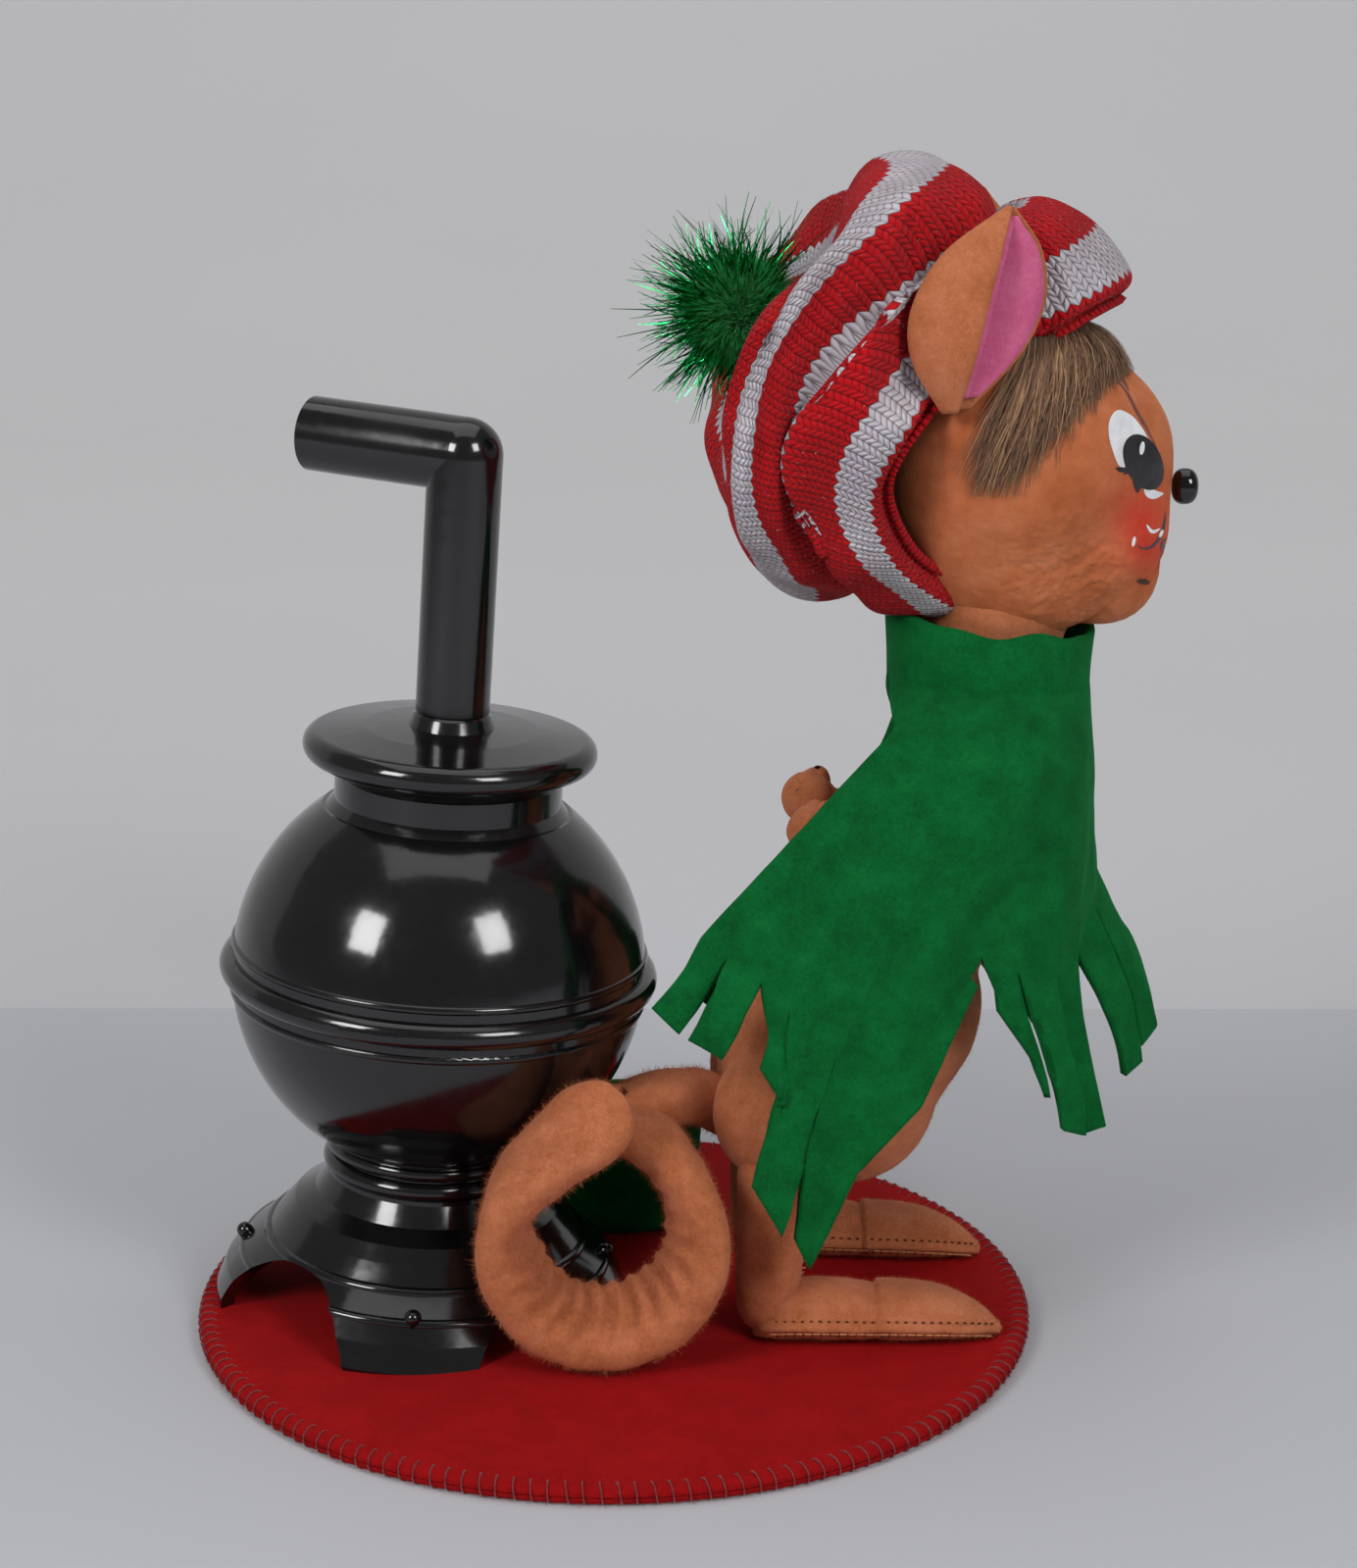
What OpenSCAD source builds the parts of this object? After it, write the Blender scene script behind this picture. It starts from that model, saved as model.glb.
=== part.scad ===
// Posable wired felt mouse warming itself at a toy pot-bellied stove, on a round felt-covered base.
// Millimetres, +Z up. The origin is the centre of the base's underside; the mouse faces +X.

/* [Base] */
// Diameter of the felt-covered base
base_d = 150; // [148:1:190]
// Thickness of each felt face of the base
felt_t = 1.2; // [0.8:0.1:1.6]
// Thickness of the card disc between the two felts
board_t = 1.0; // [0.8:0.1:2]
// How far the overcast edge thread stands out of the felt
edge_thread = 0.5; // [0.3:0.1:0.8]

/* [Stove] */
// Radius of the belly, without its bead
belly_r = 36.8; // [30:0.2:44]
// Wall of the stove's mouldings
stove_wall = 2.4; // [1.6:0.2:3]
// Radius of the rounded bead round the belly
bead_r = 2.3; // [1.5:0.1:3]
// Radius of the neck under the lid
neck_r = 20; // [16:0.5:22]
// Radius of the lid flange, over its rounded rim
lid_r = 25.8; // [23.5:0.1:28]
// Radius of the circle that the foot tips reach
foot_r = 37.5; // [34:0.5:42]
// Diameter of the stove pipe
pipe_d = 13; // [10:0.5:15]
// Height of the elbow's centre above the pipe's seat
pipe_rise = 45; // [30:1:60]
// Reach of the pipe's level leg from the stove's axis
pipe_reach = 30; // [20:1:40]
// Angle that the level leg is turned away from -X, towards +Y
pipe_turn = 25; // [0:5:60]
// How far the stove leans towards the mouse, in degrees
stove_lean = 3.6; // [0:0.2:4]

/* [Mouse] */
// Distance from the mid-plane to the middle of each foot
foot_gap = 18.5; // [17:0.5:21]
// Length of a foot in front of its ankle
foot_len = 40; // [30:1:46]
// Radius of a lower leg at the ankle
shin_r = 5.6; // [4.5:0.1:6.2]
// Height of the hips above the ankles
shin_len = 23; // [20:0.5:28]
// Radius of the belly's widest ball
tummy_r = 21.5; // [18:0.5:22]
// Radius of the back of the head
head_r = 24; // [20:0.5:26]
// Thickness of the felt that the doll is sewn from
skin_t = 1.2; // [0.8:0.1:1.6]
// Diameter of the armature wire
wire_d = 1.6; // [1:0.1:2]
// Radius of an arm
arm_r = 4; // [3:0.1:4.5]
// Length of the nose bead
nose_d = 5.6; // [4:0.2:7]

/* [Tail] */
// Radius of the curl, to the middle of the band
curl_r = 18; // [14:0.5:19]
// Width of the tail's band at its widest
tail_w = 16; // [10:0.5:17]
// Thickness of the tail's band
tail_t = 8; // [5:0.5:9]

/* [Clothes] */
// Thickness of the green felt poncho
poncho_t = 1.5; // [1:0.1:2]
// Thickness of the knitted hat
knit_t = 1.8; // [1.2:0.1:2.4]
// Radius of the pompom's fluffy middle
pom_r = 9.5; // [7:0.5:11]
// Length of the pompom's tinsel beyond the fluff
tinsel_len = 7; // [4:0.5:9]

/* [Sack] */
// Width of the felt sack
sack_w = 32; // [24:1:34]
// Height of the felt sack
sack_h = 27; // [20:1:32]

/* [Joints] */
// Furthest that the legs lean forward at the ankles, in degrees
ankle_max = 8; // [0:1:10]
// Furthest that the body bends forward at the hips, in degrees
hip_max = 7; // [0:1:9]

/* [Hidden] */

$fn = 96;
ball_fn = 28;          // balls that hulls are made from
gap = 0.3;             // clearance between pieces that move past each other
base_top = 2 * felt_t + board_t;

// Heights of the stove above the felt, along its own axis
seat_h = 30;                                       // where the belly sits on the pedestal
belly_h = seat_h + sqrt(pow(belly_r, 2) - pow(18.8, 2)); // middle of the belly
shoulder_h = belly_h + sqrt(pow(belly_r, 2) - pow(neck_r + 2, 2));
neck_h = shoulder_h + 6;                           // underside of the lid
lid_rim_r = 2.6;                                   // roundness of the lid's rim
lid_h = neck_h + 5;                                // middle of the rim
boss_h = lid_h + 6.5;                              // top of the socket that the pipe plugs into
plug_len = 7;
plug_r = pipe_d / 2 - 1.6;
stove_x = 1.6 - max(belly_r, foot_r - 0.7);        // keeps the belly and the feet off the mouse
stove_y = 2.5;
tie_r = 0.7;
tie_reach = foot_r - 4.5;                          // the ties' distance from the stove's axis
arch_r = 18;                                       // the arches between the feet
arch_drop = 6.5;

// The mouse's joints
ankle_x = 27;
ankle_z = base_top + shin_r + gap + 0.4;
hip_x = ankle_x + 1;
hip_z = ankle_z + shin_len;
hip_r = shin_r + 1;
neck_x = 65;
collar_z = 127.5;                                  // nothing on the head reaches lower
shoulder = [60, 18, 104];
elbow = [44, 21.4, 88];
hand = [32.5, 7.5, 96];
tail_root = [15, -8, 44];
wire_r = wire_d / 2;
spine_foot = [38, 0, 45];
spine_top = [neck_x, 0, collar_z - 2];
crown = [68, 0, 158];
muzzle = [80, 0, 144.2];
jaw = [61, 0, 149];
pom_at = [21.5, -3, 181.5];
brim_at = [85, 0, 188];                            // the brim's plane leans back by brim_tilt
brim_tilt = 32;

module pair(side) { if (side < 0) mirror([0, 1, 0]) children(); else children(); }
module ball(at, r) { translate(at) sphere(r = r, $fn = ball_fn); }
module rod(a, b, r) {
    run = b - a;
    length = norm(run);
    translate(a) rotate([0, acos(run[2] / length), atan2(run[1], run[0])])
        cylinder(r = r, h = length, $fn = 24);
}
module wire(points) {
    for (i = [0 : len(points) - 2]) rod(points[i], points[i + 1], wire_r);
    for (i = [1 : len(points) - 2]) translate(points[i]) sphere(r = 1.06 * wire_r, $fn = 24);
}

// ---- Base: two felt discs on a card disc, overcast round the edge
module disc(r, low, t) { translate([0, 0, low]) cylinder(r = r, h = t); }
module tie_places() {
    for (a = [0 : 90 : 270])
        stove_place() rotate([0, 0, a]) translate([tie_reach, 0, 0]) children();
}
module tie_holes(r) { tie_places() translate([0, 0, -8]) cylinder(r = r, h = 16, $fn = 24); }
module base_board() {
    color("tan") difference() {
        disc(base_d / 2 - 1.5, felt_t, board_t);
        tie_holes(tie_r + 0.05);
    }
}
module base_felt_top() {
    color("crimson") difference() {
        disc(base_d / 2, felt_t + board_t, felt_t);
        tie_holes(tie_r + 0.05);
    }
}
module base_felt_bottom() { color("crimson") disc(base_d / 2, 0, felt_t); }
module base_edge_thread() {
    inset = 1.6;
    color("red") rotate_extrude() difference() {
        translate([base_d / 2 - inset, 0.05])
            square([inset + edge_thread, base_top + edge_thread]);
        translate([base_d / 2 - inset - 1, -1]) square([inset + 1, base_top + 1]);
    }
}

// ---- Stove: glossy black mouldings, standing a little out of plumb
module stove_place() {
    translate([stove_x, stove_y, base_top]) rotate([0, stove_lean, 0]) children();
}
module pedestal_outline() {
    polygon([
        [0, -8], [foot_r - 0.6, -8], [foot_r, 0], [foot_r - 1.6, 4.4], [foot_r - 4.4, 8],
        [foot_r - 9, 11.6], [foot_r - 11.5, 15], [24, 17.5], [20.4, 19.6], [18.2, 23],
        [17.4, seat_h], [0, seat_h]
    ]);
}
module pedestal_profile() {
    union() {
        pedestal_outline();
        translate([17.4, 25.4]) circle(r = 1.8, $fn = 40);
        translate([17.6, 28.8]) circle(r = 1.4, $fn = 40);
        translate([foot_r - 9.2, 11]) circle(r = 1.1, $fn = 32);
        translate([foot_r - 4.8, 7.2]) circle(r = 1.1, $fn = 32);
    }
}
module pedestal_hollow() {
    polygon([
        [0, -9], [foot_r - stove_wall - 0.6, -9], [foot_r - stove_wall - 0.4, 0],
        [foot_r - 5.4 - stove_wall / 2, 5], [24.6, 11.6], [17.5, 15.5], [14.4, 20],
        [14, 25], [0, 25]
    ]);
}
module stove_pedestal() {
    color("#101012") difference() {
        stove_place() difference() {
            rotate_extrude() intersection() {
                difference() { pedestal_profile(); pedestal_hollow(); }
                translate([0, -8]) square([foot_r + 2, seat_h + 8]);
            }
            for (a = [45 : 90 : 315]) rotate([0, 0, a]) translate([10, 0, -arch_drop])
                rotate([0, 90, 0]) cylinder(r = arch_r, h = foot_r);
            translate([0, 0, 20]) cylinder(r = 9, h = 20);
        }
        tie_holes(tie_r + 0.2);
        translate([-150, -150, base_top - 60]) cube([300, 300, 60]);
    }
}
module belly_profile(top) {
    difference() {
        union() {
            circle(r = belly_r, $fn = 180);
            translate([belly_r - 0.2, 0]) circle(r = bead_r, $fn = 48);
            translate([belly_r - 0.6, top ? 4.4 : -4.4]) circle(r = 0.8, $fn = 32);
        }
        circle(r = belly_r - stove_wall, $fn = 180);
    }
}
module belly_half(top, low, high) {
    translate([0, 0, belly_h]) rotate_extrude() intersection() {
        belly_profile(top);
        translate([0, low]) square([belly_r + 5, high - low]);
    }
}
module stove_belly_lower() {
    color("#101012") stove_place() union() {
        belly_half(false, seat_h - belly_h, 0);
        translate([0, 0, seat_h]) difference() {
            cylinder(r = 18.6, h = 1.6);
            translate([0, 0, -1]) cylinder(r = 9, h = 4);
        }
    }
}
module stove_belly_upper() {
    color("#101012") stove_place() difference() {
        union() {
            belly_half(true, 0, shoulder_h - belly_h);
            translate([0, 0, shoulder_h - 1.5]) cylinder(r = neck_r, h = neck_h - shoulder_h + 1.5);
            translate([0, 0, shoulder_h - 1]) cylinder(r1 = neck_r + 2.2, r2 = neck_r, h = 2.6);
        }
        translate([0, 0, shoulder_h - 8]) cylinder(r = neck_r - stove_wall, h = 20);
    }
}
module stove_lid() {
    lip = neck_r - stove_wall - 0.1;
    rim = lid_r - lid_rim_r;
    color("#101012") stove_place() difference() {
        rotate_extrude() union() {
            translate([rim, lid_h]) circle(r = lid_rim_r, $fn = 48);
            polygon([
                [0, neck_h], [neck_r, neck_h], [neck_r + 1.5, neck_h + 1.6], [rim, lid_h - lid_rim_r],
                [rim, lid_h + lid_rim_r], [rim - 8, lid_h + lid_rim_r + 0.9],
                [pipe_d / 2 + 1, lid_h + lid_rim_r + 1.3], [pipe_d / 2 + 0.3, boss_h - 0.6],
                [pipe_d / 2 - 0.3, boss_h], [0, boss_h]
            ]);
            translate([0, neck_h - 3]) square([lip, 3.1]);
        }
        translate([0, 0, neck_h - 4]) cylinder(r = lip - 2, h = 6);
        translate([0, 0, boss_h - plug_len - 0.5]) cylinder(r = plug_r + 0.1, h = plug_len + 2);
    }
}
module stove_pipe() {
    r = pipe_d / 2;
    color("#101012") stove_place() translate([0, 0, boss_h]) difference() {
        union() {
            translate([0, 0, -plug_len]) cylinder(r = plug_r, h = plug_len + 1);
            translate([0, 0, 0.05]) cylinder(r = r, h = pipe_rise - 0.05);
            translate([0, 0, pipe_rise]) sphere(r = r);
            translate([0, 0, pipe_rise]) rotate([0, 0, 180 - pipe_turn]) rotate([0, 90, 0])
                cylinder(r = r, h = pipe_reach);
        }
        translate([0, 0, -plug_len - 1]) cylinder(r = plug_r - 1.6, h = pipe_rise + plug_len - 2);
    }
}
module stove_foot_ties() {
    color("black") intersection() {
        tie_places() union() {
            translate([0, 0, -8]) cylinder(r = tie_r, h = 16.4, $fn = 24);
            translate([0, 0, 8.6]) sphere(r = 1.5, $fn = 32);
        }
        translate([-150, -150, felt_t]) cube([300, 300, 60]);
    }
}

// ---- Sack: two felt panels seamed at the sides, open at the top
module sack_outline(inset) {
    for (s = [-1, 1]) translate([s * (sack_w / 2 - 7), 0]) circle(r = 7 - inset, $fn = 48);
    square([sack_w - 14, 14 - 2 * inset], center = true);
}
module felt_sack() {
    color("forestgreen") translate([1, 30.5, base_top]) difference() {
        linear_extrude(height = sack_h) sack_outline(0);
        translate([0, 0, 1.5]) linear_extrude(height = sack_h) sack_outline(1.5);
    }
}

// ---- Feet and legs: narrow felt tubes on a wire
module pivot_space(x, z, r, turn, reach) {
    // room for a round-ended limb that swings about the Y axis through x, z
    translate([x, 0, z]) {
        rotate([-90, 0, 0]) cylinder(r = r, h = 40);
        for (a = [0, turn]) rotate([0, a, 0])
            translate([-r, 0, min(0, reach)]) cube([2 * r, 40, abs(reach)]);
    }
}
module foot_solid() {
    difference() {
        hull() {
            ball([ankle_x + 4, foot_gap, base_top + 5.6], 6.3);
            ball([ankle_x + 16, foot_gap, base_top + 5.2], 6.3);
            ball([ankle_x + foot_len - 2.4, foot_gap, base_top + 3], 3.4);
        }
        pivot_space(ankle_x, ankle_z, hip_r + gap, ankle_max + 1, 30);
        translate([ankle_x - 12, foot_gap - 20, base_top - 10]) cube([80, 40, 10]);
        translate([ankle_x - 20, foot_gap - 20, base_top - 1]) cube([20 + shin_r / 2, 40, 40]);
    }
}
module foot_wire_solid() {
    z = base_top + 3.4;
    wire([[ankle_x + shin_r + 1.5, foot_gap, z], [ankle_x + foot_len - 6, foot_gap, z]]);
}
module near_foot() { color("#c07848") pair(-1) foot_solid(); }
module far_foot() { color("#c07848") foot_solid(); }
module near_foot_wire() { color("silver") pair(-1) foot_wire_solid(); }
module far_foot_wire() { color("silver") foot_wire_solid(); }
module leg_solid() {
    hull() {
        ball([ankle_x, foot_gap, ankle_z], shin_r);
        ball([hip_x, foot_gap, hip_z], hip_r);
    }
}
module leg_wire_solid() { wire([[ankle_x, foot_gap, ankle_z], [hip_x, foot_gap, hip_z + 2]]); }
module near_leg() { color("#c07848") pair(-1) leg_solid(); }
module far_leg() { color("#c07848") leg_solid(); }
module near_leg_wire() { color("silver") pair(-1) leg_wire_solid(); }
module far_leg_wire() { color("silver") leg_wire_solid(); }

// ---- Body: a pear-shaped sewn felt skin over stuffing
body_foot = [38, 0, 26];
body_lean = 14.6;
body_rings = [
    [5, 0.8], [13, 2.6], [20, 7], [tummy_r + 2.5, 13], [tummy_r + 3.1, 20], [tummy_r + 1.5, 28],
    [tummy_r, 38], [18.5, 50], [15.5, 62], [13, 74], [9, 83], [4, 87],
];
last_ring = len(body_rings) - 1;
function ring_normal(i) = let (
    step = body_rings[min(i + 1, last_ring)] - body_rings[max(i - 1, 0)]
) [step[1], -step[0]] / norm(step);
module body_shape(inset) {
    translate(body_foot) rotate([0, body_lean, 0]) rotate_extrude($fn = 64)
        polygon(concat(
            [[0, body_rings[0][1] + inset]],
            [for (i = [0 : last_ring]) body_rings[i] - inset * ring_normal(i)],
            [[0, body_rings[last_ring][1] - inset]]));
}
module leg_pockets(grow) {
    for (s = [-1, 1]) pair(s) translate([0, foot_gap - hip_r - grow, 0])
        pivot_space(hip_x, hip_z, hip_r + grow, hip_max + 2, -shin_len);
}
module torso_skin() {
    color("#c07848") difference() {
        body_shape(0);
        body_shape(skin_t);
        leg_pockets(2 * gap);
    }
}
module neck_wrap() {
    along = spine_top - spine_foot;
    color("#c07848") difference() {
        rod(spine_foot + 0.817 * along, spine_top, 7.5);
        rod(spine_foot + 0.7 * along, spine_top + 0.1 * along, wire_r + 0.05);
    }
}
module torso_stuffing() {
    color("ivory") difference() {
        body_shape(skin_t + 0.05);
        leg_pockets(2 * gap + 0.05);
    }
}
module spine_wire() {
    color("silver") wire([spine_foot, spine_top, [neck_x, 0, collar_z + 22]]);
}

// ---- Arms: felt tubes on a wire, both hands held behind the back
module arm_solid() {
    hull() { ball(shoulder, arm_r); ball(elbow, arm_r); }
    hull() { ball(elbow, arm_r); ball(hand, arm_r + 0.5); }
}
module near_arm() { color("#c07848") pair(-1) arm_solid(); }
module far_arm() { color("#c07848") arm_solid(); }
module near_arm_wire() { color("silver") pair(-1) wire([shoulder, elbow, hand]); }
module far_arm_wire() { color("silver") wire([shoulder, elbow, hand]); }

// ---- Tail: a flat felt tube on a wire, rolled into one turn beside the near leg
curl_at = [-2, -29.5, base_top + curl_r + tail_t / 2 + 0.6];
curl_start = 82;
curl_turn = 336;
rings = 44;
function curl_point(t) = let (
        a = curl_start - curl_turn * t,
        r = curl_r + 2.5 * max(0, t - 0.72) / 0.28,
        y = curl_at[1] + 12.5 * pow(1 - min(1, t / 0.3), 2) - 3 * t)
    [curl_at[0] + r * cos(a), y, curl_at[2] + r * sin(a)];
function band_width(t) = tail_w * (t < 0.6 ? 0.9 + 0.1 * sin(150 * t)
                                            : sqrt(max(0.02, 1 - pow((t - 0.6) / 0.4, 3))));
function ring_frame(t) = let (
        ahead = curl_point(min(1, t + 0.01)) - curl_point(max(0, t - 0.01)),
        run = ahead / norm(ahead),
        side = let (s = [0, 1, 0] - run[1] * run) s / norm(s))
    [side, cross(run, side)];
function tube_points(fat, wide, sides) = [
    for (i = [0 : rings]) let (
            t = i / rings,
            f = ring_frame(t),
            taper = band_width(t) / tail_w)
        for (k = [0 : sides - 1]) let (a = 360 * k / sides)
            curl_point(t) + f[0] * cos(a) * wide / 2 * taper
                + f[1] * sin(a) * fat / 2 * (0.55 + 0.45 * taper)
];
function tube_faces(sides) = concat(
    [for (i = [0 : rings - 1], k = [0 : sides - 1]) let (m = (k + 1) % sides)
        [i * sides + k, (i + 1) * sides + k, (i + 1) * sides + m, i * sides + m]],
    [[for (k = [0 : sides - 1]) k], [for (k = [sides - 1 : -1 : 0]) rings * sides + k]]
);
module tail() {
    color("#c07848") polyhedron(points = tube_points(tail_t, tail_w, 12), faces = tube_faces(12));
}
module tail_wire() {
    color("silver") polyhedron(points = tube_points(wire_d, wire_d, 8), faces = tube_faces(8));
}

// ---- Head
module head_shape(grow) {
    hull() {
        ball(crown, head_r + grow);
        ball(muzzle, 15 + grow);
        ball(jaw, 18 + grow);
    }
}
module neck_hole(r) { translate([neck_x, 0, collar_z - 5]) cylinder(r = r, h = 32, $fn = 32); }
module above_collar() { translate([0, -60, collar_z + gap]) cube([140, 120, 120]); }
module head_skin() {
    color("#c07848") difference() {
        intersection() { head_shape(0); above_collar(); }
        head_shape(-skin_t);
        neck_hole(wire_r + 1.2);
    }
}
module head_stuffing() {
    color("ivory") difference() { head_shape(-skin_t - 0.05); neck_hole(wire_r + 0.2); }
}
module nose_bead() {
    at = [muzzle[0] + 12.4 - 0.12 * (24 - head_r), 0, 152]; // the face falls back with the crown
    color("black") translate(at) rotate([0, 90, 0]) {
        cylinder(r = 0.9, h = 3, $fn = 24);
        translate([0, 0, 3.6]) sphere(r = nose_d / 2, $fn = 40);
    }
}
module ear_leaf(grow, t) {
    linear_extrude(height = t) hull() {
        translate([0, 5]) circle(r = 4 + grow, $fn = 32);
        translate([-3, 14]) circle(r = 8 + grow, $fn = 32);
        translate([3, 15]) circle(r = 8 + grow, $fn = 32);
        translate([0, 32]) circle(r = 1.4 + grow, $fn = 32);
    }
}
module ear_place(side) {
    pair(side) translate([57.5, 20.6, 168]) rotate([0, 0, 42]) rotate([84, 0, 0]) children();
}
module near_ear() { color("#c07848") ear_place(-1) ear_leaf(0, skin_t); }
module far_ear() { color("#c07848") ear_place(1) ear_leaf(0, skin_t); }
module near_ear_lining() { color("#d05585") ear_place(-1) translate([0, 0, -1.05]) ear_leaf(-1.2, 1); }
module far_ear_lining() { color("#d05585") ear_place(1) translate([0, 0, -1.05]) ear_leaf(-1.2, 1); }
module hair_tuft() {
    color("#7a5f48") intersection() {
        difference() { head_shape(1.4); head_shape(0.1); }
        translate([60, -18, 163]) cube([40, 36, 16]);
    }
}

// ---- Clothes
module brim_side() {
    translate(brim_at) rotate([0, brim_tilt, 0]) translate([-100, -60, -110]) cube([100, 120, 160]);
}
module hat_shape(inset) {
    hull() {
        ball([57, 0, 182], 26 - inset);
        ball([38, 0, 166], 19 - inset);
        ball([44, 0, 149], 17 - inset);
        ball([72, 0, 176], 18 - inset);
    }
}
module hat() {
    color("red") difference() {
        intersection() { hat_shape(0); brim_side(); above_collar(); }
        hat_shape(knit_t);
        head_shape(1.5);
        translate(pom_at) sphere(r = pom_r + 0.1, $fn = 64);
        for (s = [-1, 1]) ear_place(s) translate([0, 0, -2]) ear_leaf(0.8, 4);
    }
}
module pompom() { color("green") translate(pom_at) sphere(r = pom_r, $fn = 64); }
module pompom_tinsel() {
    strands = 40;
    color("seagreen") for (i = [0 : strands - 1]) let (
            z = 1 - 2 * (i + 0.5) / strands,
            out = [sqrt(1 - z * z) * cos(i * 137.5), sqrt(1 - z * z) * sin(i * 137.5), z])
        if (out * [-1, -0.15, 0.35] > 0.1)
            rod(pom_at + out * (pom_r + 0.02), pom_at + out * (pom_r + tinsel_len), 0.3);
}

// The poncho is one sheet, wrapped round from the back of the near side to the back of the far side.
// Its hem points run from the back edge to the middle of the front; the far side mirrors the near one.
hem = [
    [6, 20, 61], [13, 27, 56], [24, 31, 50], [30, 32, 26], [44, 32, 42],
    [60, 30, 66], [73, 24, 52], [84, 15, 42], [93, 6, 50], [97, 0, 54]
];
wraps = 36;
drops = 9;
function along(points, t) = let (
        last = len(points) - 1,
        p = min(max(t, 0), 1) * last,
        i = min(floor(p), last - 1))
    points[i] + (points[i + 1] - points[i]) * (p - i);
function hem_point(u) = let (p = along(hem, 1 - abs(u))) [p[0], sign(u) * p[1], p[2]];
collar_r = 16.8;
collar_h = 9;
collar_share = 0.12;     // the share of the rows that the standing collar takes
vent = 45;               // how far each back edge draws aside below the collar, in degrees
function cloth_point(u, v) = let (
        s = max(0, (v - collar_share) / (1 - collar_share)),
        a = (179 - vent * min(1, s / 0.15)) * u,
        h = hem_point(u),
        bulge = 8 * sin(180 * sqrt(s)) * abs(sin(a)))
    s == 0 ? [neck_x + collar_r * cos(a), collar_r * sin(a), collar_z - collar_h * v / collar_share]
           : [(neck_x + collar_r * cos(a)) * (1 - s) + h[0] * s,
              collar_r * sin(a) * (1 - s) + h[1] * s + sign(u) * bulge,
              (collar_z - collar_h) * (1 - s) + h[2] * s];
function cloth_normal(u, v) = let (
        du = cloth_point(min(1, u + 0.01), v) - cloth_point(max(-1, u - 0.01), v),
        dv = cloth_point(u, min(1, v + 0.02)) - cloth_point(u, max(0, v - 0.02)),
        n = cross(dv, du))
    n / norm(n);
function cloth_grid(side) = [
    for (i = [0 : wraps], j = [0 : drops]) let (u = -1 + 2 * i / wraps, v = j / drops)
        cloth_point(u, v) + cloth_normal(u, v) * side * poncho_t / 2
];
function cell(i, j) = i * (drops + 1) + j;
module poncho() {
    count = (wraps + 1) * (drops + 1);
    color("green") polyhedron(
        points = concat(cloth_grid(-1), cloth_grid(1)),
        faces = concat(
            [for (i = [0 : wraps - 1], j = [0 : drops - 1], f = [0, 1])
                f == 0 ? [cell(i, j), cell(i, j + 1), cell(i + 1, j + 1)]
                       : [cell(i, j), cell(i + 1, j + 1), cell(i + 1, j)]],
            [for (i = [0 : wraps - 1], j = [0 : drops - 1], f = [0, 1])
                f == 0 ? [count + cell(i, j), count + cell(i + 1, j + 1), count + cell(i, j + 1)]
                       : [count + cell(i, j), count + cell(i + 1, j), count + cell(i + 1, j + 1)]],
            [for (i = [0 : wraps - 1], e = [0, 1]) let (j = e * drops, a = cell(i, j), b = cell(i + 1, j))
                e == 0 ? [a, b, count + b, count + a] : [b, a, count + a, count + b]],
            [for (j = [0 : drops - 1], e = [0, 1]) let (i = e * wraps, a = cell(i, j), b = cell(i, j + 1))
                e == 0 ? [b, a, count + a, count + b] : [a, b, count + b, count + a]]
        )
    );
}

base_board();
base_felt_top();
base_felt_bottom();
base_edge_thread();
stove_pedestal();
stove_belly_lower();
stove_belly_upper();
stove_lid();
stove_pipe();
stove_foot_ties();
felt_sack();
near_foot();
far_foot();
near_foot_wire();
far_foot_wire();
near_leg();
far_leg();
near_leg_wire();
far_leg_wire();
torso_skin();
torso_stuffing();
spine_wire();
neck_wrap();
near_arm();
far_arm();
near_arm_wire();
far_arm_wire();
tail();
tail_wire();
head_skin();
head_stuffing();
nose_bead();
near_ear();
far_ear();
near_ear_lining();
far_ear_lining();
hair_tuft();
hat();
pompom();
pompom_tinsel();
poncho();
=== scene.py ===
import math

import bpy
import numpy as np
from mathutils import Matrix, Vector, noise
from mathutils.bvhtree import BVHTree
from mathutils.geometry import delaunay_2d_cdt


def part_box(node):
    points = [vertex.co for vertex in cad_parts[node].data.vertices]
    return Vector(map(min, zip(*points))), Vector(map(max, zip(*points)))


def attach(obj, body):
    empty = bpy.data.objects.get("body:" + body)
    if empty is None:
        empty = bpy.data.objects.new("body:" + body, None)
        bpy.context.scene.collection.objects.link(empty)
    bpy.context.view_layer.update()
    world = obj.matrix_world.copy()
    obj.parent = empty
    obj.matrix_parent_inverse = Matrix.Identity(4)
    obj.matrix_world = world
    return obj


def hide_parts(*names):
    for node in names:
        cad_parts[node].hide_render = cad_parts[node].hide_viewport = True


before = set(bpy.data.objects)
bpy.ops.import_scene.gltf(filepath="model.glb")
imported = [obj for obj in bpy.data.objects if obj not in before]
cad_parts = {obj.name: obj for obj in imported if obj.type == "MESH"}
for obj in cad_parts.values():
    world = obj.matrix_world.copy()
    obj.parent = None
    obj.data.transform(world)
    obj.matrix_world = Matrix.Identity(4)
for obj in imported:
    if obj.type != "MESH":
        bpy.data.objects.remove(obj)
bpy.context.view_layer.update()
MM = 0.001                            # metres in a millimetre


# ---- Studio: a sheet of pale card curved up behind the figurine, a second one laid on it that
# ends just behind the base, two large soft boxes in front and a weak overhead fill.
def linear(hex_colour, alpha=1.0):
    """An sRGB hex colour as the linear colour that a shader socket takes."""
    parts = [int(hex_colour[i:i + 2], 16) / 255 for i in (1, 3, 5)]
    return tuple(c / 12.92 if c < 0.04045 else ((c + 0.055) / 1.055) ** 2.4 for c in parts) + (alpha,)


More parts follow.
